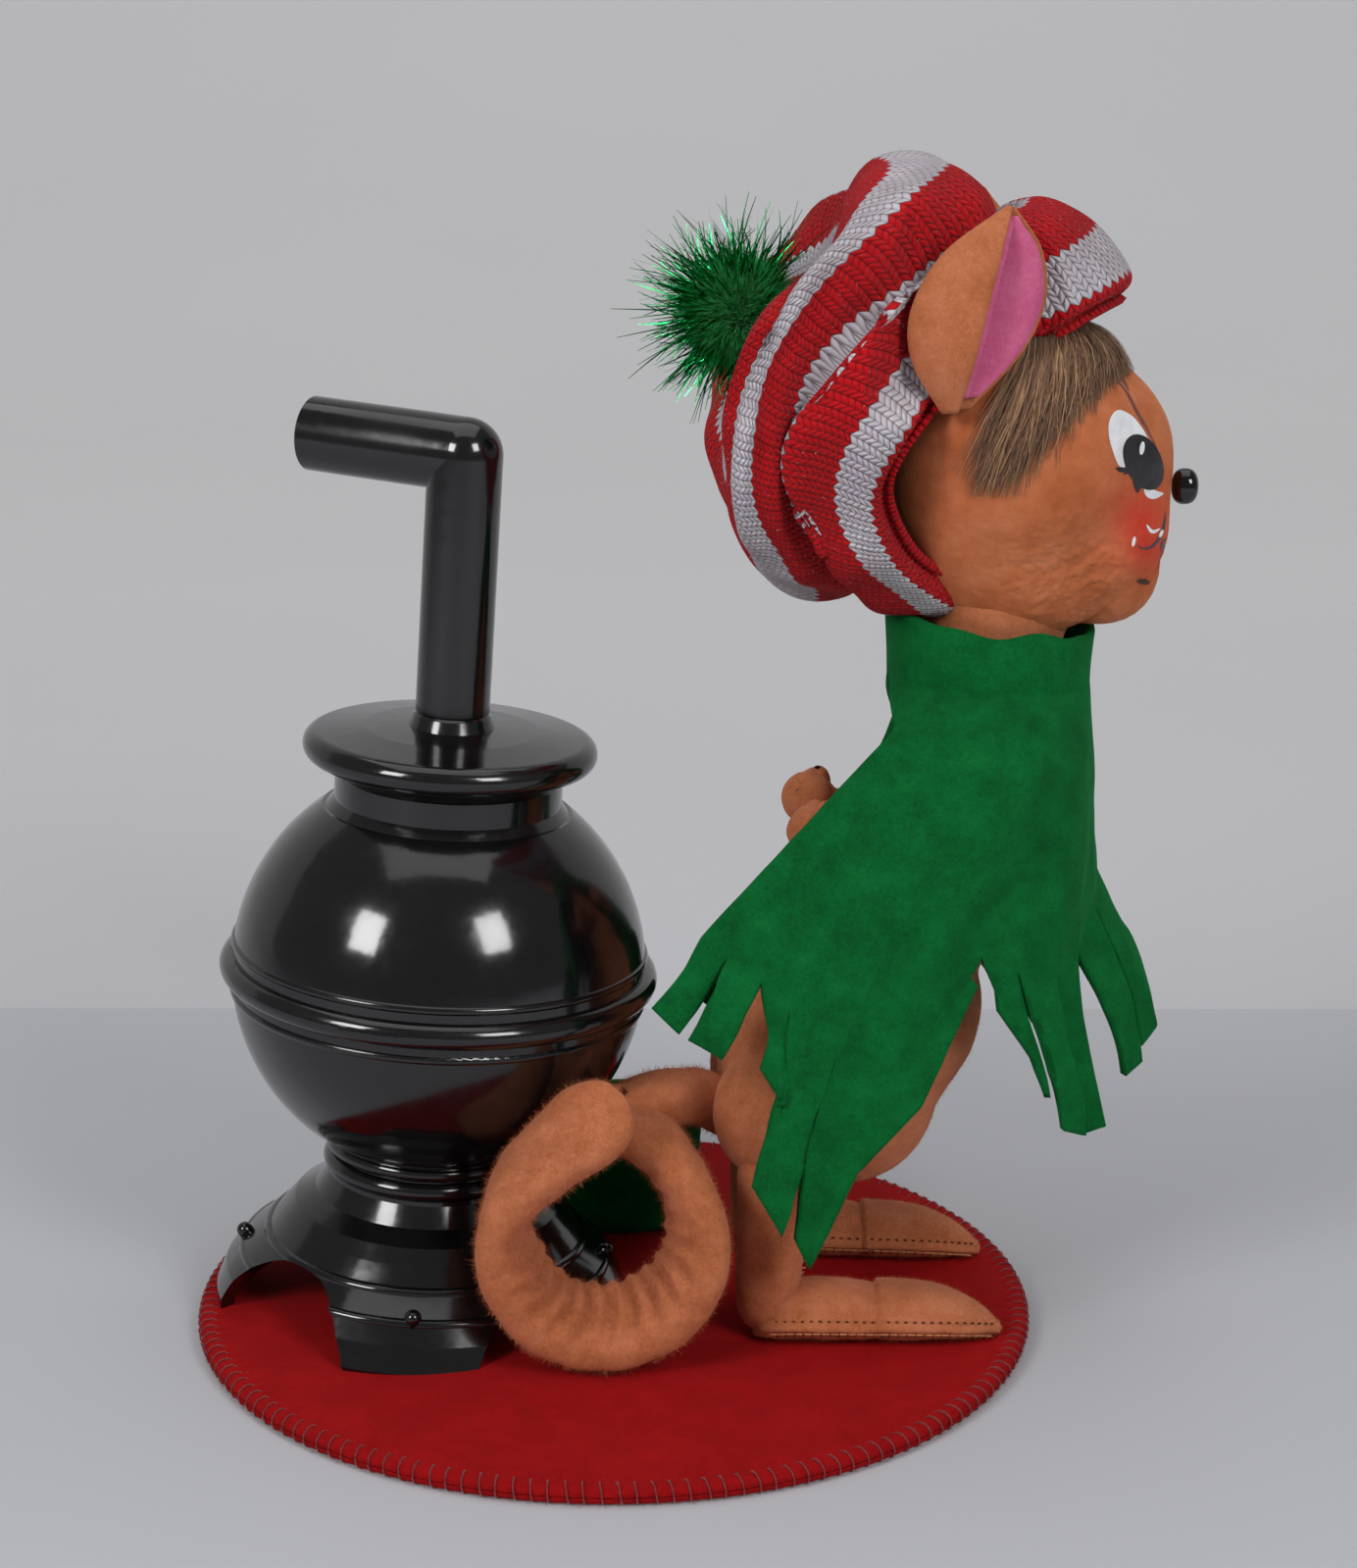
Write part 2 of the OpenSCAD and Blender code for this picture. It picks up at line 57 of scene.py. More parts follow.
def add(tree, kind, links=None, **settings):
    """Adds a node, sets its properties and its sockets' values, and links its inputs."""
    node = tree.nodes.new("ShaderNode" + kind)
    for key, value in settings.items():
        if hasattr(node, key):
            setattr(node, key, value)
        else:
            node.inputs[key.replace("_", " ")].default_value = value
    for key, source in (links or {}).items():
        tree.links.new(source, node.inputs[key])
    return node


def finish_named(name, rough, **sockets):
    """A new material with its shader's plain sockets set; returns it, its tree and its shader."""
    material = bpy.data.materials.new(name)
    material.use_nodes = True
    tree = material.node_tree
    shader = tree.nodes["Principled BSDF"]
    shader.inputs["Roughness"].default_value = rough
    for key, value in sockets.items():
        shader.inputs[key.replace("_", " ")].default_value = value
    return material, tree, shader


def ramp(tree, source, stops):
    """A colour ramp over source, from a list of (place, hex colour)."""
    node = add(tree, "ValToRGB", {"Fac": source})
    while len(node.color_ramp.elements) < len(stops):
        node.color_ramp.elements.new(0.5)
    for element, (place, colour) in zip(node.color_ramp.elements, stops):
        element.position = place
        element.color = linear(colour)
    return node.outputs["Color"]


def mottle(tree, **settings):
    """A noise texture laid out in the piece's own space."""
    return add(tree, "TexNoise", {"Vector": add(tree, "TexCoord").outputs["Object"]}, **settings)


def coat(tree, shader, colour):
    """Links a colour to a shader."""
    tree.links.new(colour, shader.inputs["Base Color"])


def emboss(tree, shader, height, strength, deep):
    """Links a height to a shader as a bump that stands out by deep millimetres."""
    bump = add(tree, "Bump", {"Height": height}, Strength=strength, Distance=deep * MM)
    tree.links.new(bump.outputs["Normal"], shader.inputs["Normal"])


def studio_sheet(name, colours, painted_glow, sweep, width):
    """A sheet of matt card that follows a line of (y, z) points in metres. Its emission colours
    are painted light that the card gives off, more of it further back."""
    card, card_tree, card_shader = finish_named(name, 0.75)
    grain = mottle(card_tree, Scale=3.0, Detail=4.0)
    coat(card_tree, card_shader, ramp(card_tree, grain.outputs["Fac"],
        [(0.3, colours[0]), (0.7, colours[1])]))
    far = add(card_tree, "SeparateXYZ", {"Vector": add(card_tree, "TexCoord").outputs["Object"]})
    away = add(card_tree, "Math", {0: far.outputs["Y"]}, operation="ABSOLUTE")
    deep = add(card_tree, "MapRange", {"Value": away.outputs[0]}, From_Min=-0.15, From_Max=2.2)
    card_tree.links.new(ramp(card_tree, deep.outputs["Result"], painted_glow), card_shader.inputs["Emission Color"])
    card_shader.inputs["Emission Strength"].default_value = 1.0
    mesh = bpy.data.meshes.new(name)
    mesh.from_pydata(
        [(x, y, z) for y, z in sweep for x in (-width, width)], [],
        [(2 * i, 2 * i + 1, 2 * i + 3, 2 * i + 2) for i in range(len(sweep) - 1)])
    mesh.polygons.foreach_set("use_smooth", [True] * len(mesh.polygons))
    mesh.materials.append(card)
    sheet = bpy.data.objects.new(name, mesh)
    bpy.context.scene.collection.objects.link(sheet)


bend_start, bend_radius = 1.0, 1.2
backdrop = [(-9.0, -0.0006), (bend_start, -0.0006)]
backdrop += [(bend_start + bend_radius * math.sin(a), bend_radius - bend_radius * math.cos(a))
    for a in np.linspace(0.05, math.pi / 2, 24)]
backdrop += [(bend_start + bend_radius, 3.2)]
# both cards give off painted light as emission, more of it further from the figurine
studio_sheet("studio_backdrop", ("#b9bac0", "#bebfc4"), [(0.13, "#53524f"), (0.345, "#777672"),
    (0.9, "#929190")], backdrop, 9.0)
studio_sheet("studio_floor_card", ("#b0b1b6", "#b5b6bb"), [(0.0, "#000000"), (0.03, "#282828"),
    (0.13, "#4b4b4c")], [(-9.0, 0.0), (0.163, 0.0)], 9.0)


def soft_box(name, at, towards, size, watts):
    """A rectangular area light that faces a point."""
    light = bpy.data.lights.new(name, "AREA")
    light.shape = "RECTANGLE"
    light.size, light.size_y = size
    light.energy = watts
    lamp = bpy.data.objects.new(name, light)
    bpy.context.scene.collection.objects.link(lamp)
    lamp.location = at
    lamp.rotation_euler = (Vector(towards) - Vector(at)).to_track_quat("-Z", "Y").to_euler()
    return lamp


soft_box("left_soft_box", (-0.72, -0.75, 0.68), (0, 0, 0.08), (0.34, 0.42), 6.2)
soft_box("right_soft_box", (0.62, -0.82, 0.72), (0, 0, 0.08), (0.34, 0.42), 5.6)
soft_box("overhead_fill", (0.0, 0.1, 1.5), (0, 0, 0), (1.4, 1.4), 6.0)
world = bpy.data.worlds.new("studio_air")
world.use_nodes = True
world.node_tree.nodes["Background"].inputs["Color"].default_value = linear("#d8d9de")
world.node_tree.nodes["Background"].inputs["Strength"].default_value = 0.24
bpy.context.scene.world = world
bpy.context.scene.view_settings.view_transform = "Standard"

lens = bpy.data.cameras.new("camera")
lens.lens = 69.25
lens.sensor_width = 36
camera = bpy.data.objects.new("camera", lens)
bpy.context.scene.collection.objects.link(camera)
camera.matrix_world = (
    Matrix.Translation((0.003, -0.509, 0.238))
    @ Matrix.Rotation(math.radians(-0.91), 4, "Z")
    @ Matrix.Rotation(math.radians(90 - 15.24), 4, "X")
    @ Matrix.Rotation(math.radians(0.36), 4, "Z"))
bpy.context.scene.camera = camera


# ---- Base: a card disc between two discs of red craft felt, 150 mm across, overcast all
# round its rim with red thread that draws the felt down into small dimples.
def build(name, points, faces, material, body, slot_name, uv=None, smooth=True, quiet=False):
    """A mesh piece from points in millimetres, with its material and body; slot_name is not used."""
    mesh = bpy.data.meshes.new(name)
    mesh.from_pydata((np.asarray(points, float) * MM).tolist(), [], [tuple(map(int, f)) for f in faces])
    if smooth:
        mesh.polygons.foreach_set("use_smooth", [True] * len(mesh.polygons))
    if uv is not None:
        corner = np.zeros(len(mesh.loops), int)
        mesh.loops.foreach_get("vertex_index", corner)
        mesh.uv_layers.new(name="UVMap").data.foreach_set("uv", np.asarray(uv, float)[corner].ravel())
    mesh.materials.append(material)
    piece = bpy.data.objects.new(name, mesh)
    bpy.context.scene.collection.objects.link(piece)
    if not quiet:
        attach(piece, body)
    return piece


def quads(rows, columns, wrap=False):
    """The faces of a grid of points stored row by row; wrap joins the last column to the first."""
    count = columns if wrap else columns - 1
    i, j = np.meshgrid(np.arange(rows - 1), np.arange(count), indexing="ij")
    k = (j + 1) % columns
    return np.stack([i * columns + j, i * columns + k, (i + 1) * columns + k, (i + 1) * columns + j],
        -1).reshape(-1, 4)


def tubes(paths, radius, sides=5):
    """Points and faces of many thin tubes; paths is an array of tubes x points x 3."""
    paths = np.asarray(paths, float)
    run = np.gradient(paths, axis=1)
    run /= np.linalg.norm(run, axis=2, keepdims=True) + 1e-9
    up = np.where(np.abs(run[..., 2:3]) > 0.9, [1.0, 0, 0], [0, 0, 1.0])
    side = np.cross(run, up)
    side /= np.linalg.norm(side, axis=2, keepdims=True) + 1e-9
    top = np.cross(run, side)
    turn = np.linspace(0, 2 * math.pi, sides, endpoint=False)
    radius = np.broadcast_to(np.asarray(radius, float), paths.shape[:2])[..., None, None]
    ring = side[:, :, None] * np.cos(turn)[None, None, :, None] + top[:, :, None] * np.sin(turn)[None, None,
        :, None]
    points = (paths[:, :, None] + ring * radius).reshape(-1, 3)
    one = quads(paths.shape[1], sides, wrap=True)
    step = paths.shape[1] * sides
    faces = (one[None] + (np.arange(len(paths)) * step)[:, None, None]).reshape(-1, 4)
    return points, faces


def fibres(roots, outward, length, width, seed, lean=0.6, bend=0.5):
    """Points and faces of short loose fibres, each a bent strip that tapers to a point."""
    rng = np.random.default_rng(seed)
    roots, outward = np.asarray(roots, float), np.asarray(outward, float)
    way = outward + lean * rng.normal(size=roots.shape)
    way /= np.linalg.norm(way, axis=1, keepdims=True) + 1e-9
    tall = (length * rng.uniform(0.35, 1.0, len(roots)))[:, None]
    curl = bend * rng.normal(size=roots.shape)
    middle = roots + way * tall * 0.5
    tip = roots + (way + 0.5 * curl) * tall * 0.95
    side = np.cross(way, rng.normal(size=roots.shape))
    side *= width / 2 / (np.linalg.norm(side, axis=1, keepdims=True) + 1e-9)
    points = np.stack([roots - side, roots + side, middle + side * 0.7, middle - side * 0.7, tip],
        1).reshape(-1, 3)
    base = (np.arange(len(roots)) * 5)[:, None]
    return points, list(map(tuple, base + [0, 1, 2, 3])) + list(map(tuple, base + [3, 2, 4]))


def wool_felt(name, deep, middle, light, sheen, nap=0.16):
    """Pressed wool felt: a matt mat of crossing fibres about 0.05 mm thick, drawn as coarse as
    0.3 mm so that they show, with slow mottling where the nap lies in different directions."""
    material, tree, shader = finish_named(name, 0.95, Sheen_Weight=0.35, Sheen_Roughness=0.6,
        Sheen_Tint=linear(sheen))
    shader.inputs["Specular IOR Level"].default_value = 0.15
    place = add(tree, "TexCoord").outputs["Object"]
    slow = add(tree, "TexNoise", {"Vector": place}, Scale=160.0, Detail=5.0, Roughness=0.65)
    fine = add(tree, "TexNoise", {"Vector": place}, Scale=1500.0, Detail=4.0, Roughness=0.75,
        Distortion=1.2)
    mixed = add(tree, "Math", {0: slow.outputs["Fac"], 1: fine.outputs["Fac"]}, operation="ADD")
    halved = add(tree, "Math", {0: mixed.outputs[0]}, operation="MULTIPLY")
    halved.inputs[1].default_value = 0.5
    coat(tree, shader, ramp(tree, halved.outputs[0], [(0.36, deep), (0.5, middle), (0.64, light)]))
    bump = add(tree, "Bump", {"Height": fine.outputs["Fac"]}, Strength=0.55, Distance=nap * MM)
    lift = add(tree, "Bump", {"Height": slow.outputs["Fac"], "Normal": bump.outputs["Normal"]},
        Strength=0.5, Distance=0.4 * MM)
    tree.links.new(lift.outputs["Normal"], shader.inputs["Normal"])
    return material


base_radius, base_high = 75.0, 3.4
stitches = 165
stitch_in = 2.9                       # how far in from the edge the needle goes
red_felt = wool_felt("red_craft_felt", "#840408", "#93070b", "#a30c10", "#b71d1d")
turn = np.linspace(0, 2 * math.pi, stitches * 4, endpoint=False)
edge_rings = [(75.0, 1.75), (75.05, 2.1), (74.9, 2.6), (74.55, 2.95), (74.0, 3.2), (73.4, 3.32), (72.8,
    3.38), (72.1, 3.4), (71.4, 3.42), (70.6, 3.43), (69.5, 3.43), (68, 3.42)]
edge_rings += [(r, 3.4) for r in np.linspace(66, 1.0, 30)]


def felt_disc(rings, seed, up):
    """A felt disc as rings from its rim to its middle, dimpled where each stitch goes in."""
    points = []
    for r, z in rings:
        dimple = 0.42 * math.exp(-((r - (base_radius - stitch_in)) / 0.9) ** 2)
        pull = 0.5 + 0.5 * np.cos(turn * stitches)
        wave = np.array([noise.noise(Vector((r * math.cos(a) / 21, r * math.sin(a) / 21, seed)))
            for a in turn])
        ripple = 0.16 * wave * min(1, (base_radius - r) / 6)
        scallop = 0.16 * (1 - pull) * math.exp(-((base_radius - r) / 1.6) ** 2)
        high = z - dimple * pull ** 2 + ripple
        high = high if up else base_high - high
        points.append(np.stack([(r + scallop) * np.cos(turn), (r + scallop) * np.sin(turn), np.maximum(high,
            0.0)], 1))
    cloud = np.concatenate(points + [[[0, 0, rings[-1][1] if up else 0.0]]])
    faces = [tuple(f if up else f[::-1]) for f in quads(len(rings), len(turn), wrap=True)]
    last = (len(rings) - 1) * len(turn)
    for i in range(len(turn)):
        tri = (last + i, last + (i + 1) % len(turn), len(cloud) - 1)
        faces.append(tri if up else tri[::-1])
    return cloud, faces


top_points, top_faces = felt_disc(edge_rings, 3.0, True)
base_top_felt = build("red_felt_top_disc", top_points, top_faces, red_felt, "base", "red_felt")
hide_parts("base_felt_top")
low_points, low_faces = felt_disc([(r, min(z, 3.4)) for r, z in edge_rings], 8.0, False)
low_points[:, 2] = np.clip(low_points[:, 2], 0.0, 1.7)
base_low_felt = build("red_felt_bottom_disc", low_points, low_faces, red_felt, "base", "red_felt")
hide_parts("base_felt_bottom")

thread, thread_tree, thread_shader = finish_named("red_sewing_thread", 0.6, Sheen_Weight=0.3)
twist = add(thread_tree, "TexWave", {"Vector": add(thread_tree, "TexCoord").outputs["Object"]}, Scale=900.0,
    Distortion=2.0)
coat(thread_tree, thread_shader, ramp(thread_tree, twist.outputs["Fac"],
    [(0.2, "#5e0407"), (0.8, "#8e0c12")]))
over_edge = [(72.1, 2.9, 0), (73.0, 3.42, 0.15), (74.2, 3.38, 0.35), (75.15, 2.75, 0.55), (75.45, 1.7,
    0.75), (75.1, 0.7, 0.95), (74.2, 0.12, 1.1), (73.2, 0.12, 1.2)]
stitch_paths = []
for i in range(stitches):
    start = 2 * math.pi * i / stitches
    slant = 0.011 + 0.003 * math.sin(i * 2.4)
    stitch_paths.append([(r * math.cos(start + s * slant), r * math.sin(start + s * slant), z) for r, z,
        s in over_edge])
edge_thread = build("overcast_edge_thread", *tubes(stitch_paths, 0.16), thread, "base", "red_thread")
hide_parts("base_edge_thread")

rng = np.random.default_rng(11)
angle = rng.uniform(0, 2 * math.pi, 9000)
rim_high = rng.uniform(0.3, 3.2, 9000)
reach = np.where(rim_high > 2.6, 74.6, 75.05)
rim_roots = np.stack([reach * np.cos(angle), reach * np.sin(angle), rim_high], 1)
rim_out = np.stack([np.cos(angle), np.sin(angle), 0.5 * (rim_high > 2.4)], 1)
build("red_felt_rim_nap", *fibres(rim_roots, rim_out, 0.9, 0.05, 12), red_felt, "base", "red_felt")

board, board_tree, board_shader = finish_named("grey_pulp_board", 0.9)
pulp = mottle(board_tree, Scale=700.0, Detail=6.0)
coat(board_tree, board_shader, ramp(board_tree, pulp.outputs["Fac"],
    [(0.35, "#8d8375"), (0.65, "#aba08f")]))
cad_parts["base_board"].data.materials.clear()
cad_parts["base_board"].data.materials.append(board)


# ---- Stove: a pot-bellied stove of glossy black moulded plastic in five mouldings, glued
# together at the bead, the neck and the lid. Its pipe plugs into the lid and turns.
def moulded_plastic(name):
    """Glossy injection-moulded polystyrene: near black, mirror-like, with the faint
    orange-peel waves of a cheap mould about 4 mm apart, fine scuffs and a little dust."""
    material, tree, shader = finish_named(name, 0.13, IOR=1.55, Coat_Weight=0.25, Coat_Roughness=0.06)
    place = add(tree, "TexCoord").outputs["Object"]
    peel = add(tree, "TexNoise", {"Vector": place}, Scale=240.0, Detail=2.0)
    dust = add(tree, "TexNoise", {"Vector": place}, Scale=1900.0, Detail=3.0, Roughness=0.8)
    scuff = add(tree, "TexNoise", {"Vector": place}, Scale=60.0, Detail=6.0, Roughness=0.7)
    coat(tree, shader, ramp(tree, dust.outputs["Fac"], [(0.45, "#0b0a0b"), (0.72, "#151416")]))
    rough = add(tree, "MapRange", {"Value": scuff.outputs["Fac"]}, From_Min=0.35, From_Max=0.75,
        To_Min=0.09, To_Max=0.26)
    tree.links.new(rough.outputs["Result"], shader.inputs["Roughness"])
    emboss(tree, shader, peel.outputs["Fac"], 0.35, 0.12)
    return material


black_plastic = moulded_plastic("glossy_black_polystyrene")
for node in ("stove_pedestal", "stove_belly_lower", "stove_belly_upper", "stove_lid", "stove_pipe",
    "stove_foot_ties"):
    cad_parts[node].data.materials.clear()
    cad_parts[node].data.materials.append(black_plastic)

# ---- Sack: two panels of green craft felt seamed at the sides and bottom, standing open and
# empty on the base behind the tail.
green_felt = wool_felt("green_craft_felt", "#004a1e", "#00602a", "#087034", "#2f9a58")


def felt_sheet(name, grid, thick, material, body, slot_name, closed=False, keep=None, weld=None):
    """A sheet of felt: a grid of middle points given its thickness by a solidify modifier. keep,
    if given, says which of the grid's cells are cloth; the others are cut away. weld, if given,
    is the point that each of the grid's points is joined to."""
    rows, columns = grid.shape[:2]
    faces = quads(rows, columns, wrap=closed)
    if keep is not None:
        faces = faces[np.asarray(keep).ravel()]
    if weld is not None:
        faces = weld[faces]
    used, faces = np.unique(faces, return_inverse=True)
    piece = build(name, grid.reshape(-1, 3)[used], faces.reshape(-1, 4), material, body, slot_name)
    solid = piece.modifiers.new("thickness", "SOLIDIFY")
    solid.thickness = thick * MM
    solid.offset = 0.0
    solid.use_even_offset = weld is None
    return piece


sack_low, sack_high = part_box("felt_sack")
sack_mid = np.array((sack_low + sack_high) / 2) / MM
sack_wide, sack_deep, sack_tall = np.array(sack_high - sack_low) / MM
turn = np.linspace(0, 2 * math.pi, 96, endpoint=False)
rows = []
for h in np.linspace(0.0, 1.0, 26):
    slump = 1.0 - 0.07 * math.sin(math.pi * h) + 0.02 * h
    round_in = min(1.0, 0.78 + 0.22 * math.sqrt(min(1, h / 0.16)))
    side = np.sign(np.cos(turn)) * np.abs(np.cos(turn)) ** 0.75
    deep = np.sign(np.sin(turn)) * np.abs(np.sin(turn)) ** 0.75
    fold = 1 + 0.05 * np.sin(3 * turn + 4 * h) + 0.03 * np.sin(7 * turn - 6 * h)
    rows.append(np.stack([
        sack_mid[0] + (sack_wide / 2 - 0.8) * side * slump * round_in,
        sack_mid[1] + (sack_deep / 2 - 0.8) * deep * slump * round_in * fold,
        np.full(96, base_high + 0.9 + (sack_tall - 1.2) * h) + 0.35 * np.sin(2 * turn) * h], 1))
centre = rows[0].mean(0)
floor_rows = [centre + (rows[0] - centre) * k for k in (0.02, 0.4, 0.8)]
sack = felt_sheet("green_felt_sack", np.array(floor_rows + rows), 1.4, green_felt, "base", "green_felt",
    closed=True)
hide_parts("felt_sack")


# ---- Feet: two almond shapes of tan felt sewn edge to edge with the seam left outside as a
# ridge, one row of machine stitches below it and needle holes above, over a wire.
tan_felt = wool_felt("tan_mask_felt", "#a05a32", "#b76c46", "#c67c58", "#dca08a")
seam_thread, seam_tree, seam_shader = finish_named("tan_cotton_thread", 0.65, Sheen_Weight=0.3)
ply = mottle(seam_tree, Scale=1400.0)
coat(seam_tree, seam_shader, ramp(seam_tree, ply.outputs["Fac"], [(0.3, "#a9642f"), (0.7, "#d18a50")]))
# painted shade: short dark strokes stand for the shade inside the needle holes
hole, hole_tree, hole_shader = finish_named("needle_hole_shadow", 1.0)
pit = mottle(hole_tree, Scale=900.0)
coat(hole_tree, hole_shader, ramp(hole_tree, pit.outputs["Fac"], [(0.3, "#4f2710"), (0.7, "#6e3a1c")]))


def surface_nap(name, piece, count, length, material, body, slot_name, seed, width=0.045, where=None):
    """Loose fibres that stand off a felt piece, scattered evenly over its faces."""
    mesh = piece.data
    points = np.empty(len(mesh.vertices) * 3)
    mesh.vertices.foreach_get("co", points)
    points = points.reshape(-1, 3) / MM
    faces = np.array([p.vertices[:4] if len(p.vertices) > 3 else list(p.vertices) + [p.vertices[0]]
        for p in mesh.polygons])
    a, b, c, d = (points[faces[:, k]] for k in range(4))
    normal = np.cross(c - a, d - b)
    area = np.linalg.norm(normal, axis=1)
    normal /= area[:, None] + 1e-9
    if where is not None:
        area = area * where((a + b + c + d) / 4)
    rng = np.random.default_rng(seed)
    pick = rng.choice(len(faces), count, p=area / area.sum())
    s, t = rng.random((2, count, 1))
    roots = (a[pick] * (1 - s) + b[pick] * s) * (1 - t) + (d[pick] * (1 - s) + c[pick] * s) * t
    return build(name, *fibres(roots, normal[pick], length, width, seed + 1, lean=0.8), material, body,
        slot_name)


def stitch_row(name, places, along, length, radius, material, body, slot_name):
    """A row of stitches: one short arched thread at each place, lying along its direction."""
    paths = []
    for place, way in zip(places, along):
        way = np.asarray(way) / (np.linalg.norm(way) + 1e-9)
        paths.append([place - way * length / 2, place - way * length / 5, place + way * length / 5, place
            + way * length / 2])
    return build(name, *tubes(paths, radius), material, body, slot_name)


foot_back, foot_tip, foot_y = 24.5, 68.3, 18.5
for side, word in ((-1, "near"), (1, "far")):
    rows, ridge_in, ridge_out = [], [], []
    splay = 0.0 if side < 0 else -0.06
    for t in np.linspace(0, 1, 90):
        x = foot_back + (foot_tip - foot_back) * t
        swell = (math.sin(math.pi * min(1, t / 0.9) ** 0.6) ** 0.5 if t < 0.5
            else math.cos(math.pi / 2 * ((t - 0.5) / 0.5) ** 1.7) ** 0.75)
        swell = max(swell, 0.1)
        wide = 0.8 + 6.4 * swell
        tall = 1.3 + 4.5 * swell * (1 - 0.25 * t)
        low = 0.25 + 4.1 * swell * (1 - 0.1 * t)
        middle_y = side * foot_y + splay * (x - foot_back) * side
        middle_z = base_high + low + 0.15
        ring = []
        for a in np.linspace(0, 2 * math.pi, 56, endpoint=False):
            up = math.sin(a)
            ridge = 1.15 * math.exp(-(math.sin(a) / 0.17) ** 2)
            tuck = -0.35 * math.exp(-((abs(math.sin(a)) - 0.36) / 0.13) ** 2)
            across = math.copysign(abs(math.cos(a)) ** 0.85, math.cos(a)) * (wide + (ridge + tuck) * swell)
            rise = math.copysign(abs(up) ** 0.9, up) * (tall if up > 0 else low)
            bump = 0.25 * noise.noise(Vector((x / 4, across / 4, side * 3 + rise / 4)))
            ring.append((x, middle_y + across + bump, max(middle_z + rise + bump * 0.6, base_high + 0.05)))
        rows.append(ring)
        edge = wide + 1.1 * swell
        ridge_out.append((x, middle_y - side * -1 * edge, middle_z))
        ridge_in.append((x, middle_y - side * edge, middle_z))
    rows = np.array(rows)
    tips = [np.tile(rows[0].mean(0), (56, 1)) * 0.98 + rows[0] * 0.02,
        np.tile(rows[-1].mean(0) + [0.5, 0, 0], (56, 1)) * 0.98 + rows[-1] * 0.02]
    grid = np.concatenate([[tips[0]], rows, [tips[1]]])
    foot = build(f"{word}_felt_foot", grid.reshape(-1, 3), quads(92, 56, wrap=True), tan_felt, "base",
        "tan_felt")
    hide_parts(f"{word}_foot", f"{word}_foot_wire")
    surface_nap(f"{word}_foot_nap", foot, 9000, 0.8, tan_felt, "base", "tan_felt", 30 + side)
    for row_name, line, out in (("outer", np.array(ridge_out), side), ("inner", np.array(ridge_in), -side)):
        every = line[6:-3]
        run = np.concatenate([[0], np.cumsum(np.linalg.norm(np.diff(every, axis=0), axis=1))])
        at = np.arange(0.5, run[-1], 1.55)
        places = np.stack([np.interp(at, run, every[:, k]) for k in range(3)], 1)
        ways = np.gradient(places, axis=0)
        stitch_row(f"{word}_foot_{row_name}_stitches", places + [0, out * -0.15, -0.75], ways, 1.25, 0.17,
            seam_thread, "base", "tan_felt")
        # rows of painted shade at the needle holes above and below the stitches
        stitch_row(f"{word}_foot_{row_name}_holes", places + [0.6, out * -0.8, 1.35], ways, 0.5, 0.2, hole,
            "base", "tan_felt")
        stitch_row(f"{word}_foot_{row_name}_low_holes", places + [0.75, out * -0.45, -1.25], ways, 0.45,
            0.17, hole, "base", "tan_felt")


# ---- Legs: felt tubes on a wire from heel to hip, seamed down the front with a coarse
# zig-zag and gathered on to the heel of each foot.
ankle = np.array([27.0, 18.5, 9.7])
hip = np.array([28.0, 18.5, 32.7])


def limb(path, radii, sides, ridge_angle=None, ridge=0.9, seed=1.0, squash_to=1.0, lumps=0.25):
    """Rows of points round a smooth path, with rounded ends and one seam ridge along it."""
    path, radii = np.asarray(path, float), np.asarray(radii, float)
    run = np.gradient(path, axis=0)
    run /= np.linalg.norm(run, axis=1, keepdims=True)
    rows = []
    for place, way, r in zip(path, run, radii):
        side = np.cross(way, [0, 0, 1.0] if abs(way[2]) < 0.85 else [1.0, 0, 0])
        side /= np.linalg.norm(side)
        top = np.cross(side, way)
        ring = []
        for a in np.linspace(0, 2 * math.pi, sides, endpoint=False):
            extra = 0.0
            if ridge_angle is not None:
                gap = (a - ridge_angle + math.pi) % (2 * math.pi) - math.pi
                extra = ridge * math.exp(-(gap / 0.16) ** 2) - 0.3 * ridge * math.exp(-((abs(gap) - 0.36)
                    / 0.14) ** 2)
            spot = place + (side * math.cos(a) + top * math.sin(a) * squash_to) * r
            extra += lumps * noise.noise(Vector(spot) / 5 + Vector((seed, 0, 0)))
            ring.append(place + (side * math.cos(a) + top * math.sin(a) * squash_to) * (r + extra
                * min(1, r / 3)))
        rows.append(ring)
    return np.array(rows)


def rounded(length, radius_start, radius_end, count):
    """Stations along a straight run and the radius at each, with both ends domed."""
    s = np.linspace(-1, 1, count)
    s = np.sign(s) * (1 - (1 - np.abs(s)) ** 1.6)
    at = (s + 1) / 2 * (length + radius_start + radius_end) - radius_start
    r = np.interp(at, [0, length], [radius_start, radius_end])
    r = np.where(at < 0, radius_start * np.sqrt(np.clip(1 - (at / radius_start) ** 2, 0.0004, 1)), r)
    r = np.where(at > length,
        radius_end * np.sqrt(np.clip(1 - ((at - length) / radius_end) ** 2, 0.0004, 1)), r)
    return at, r


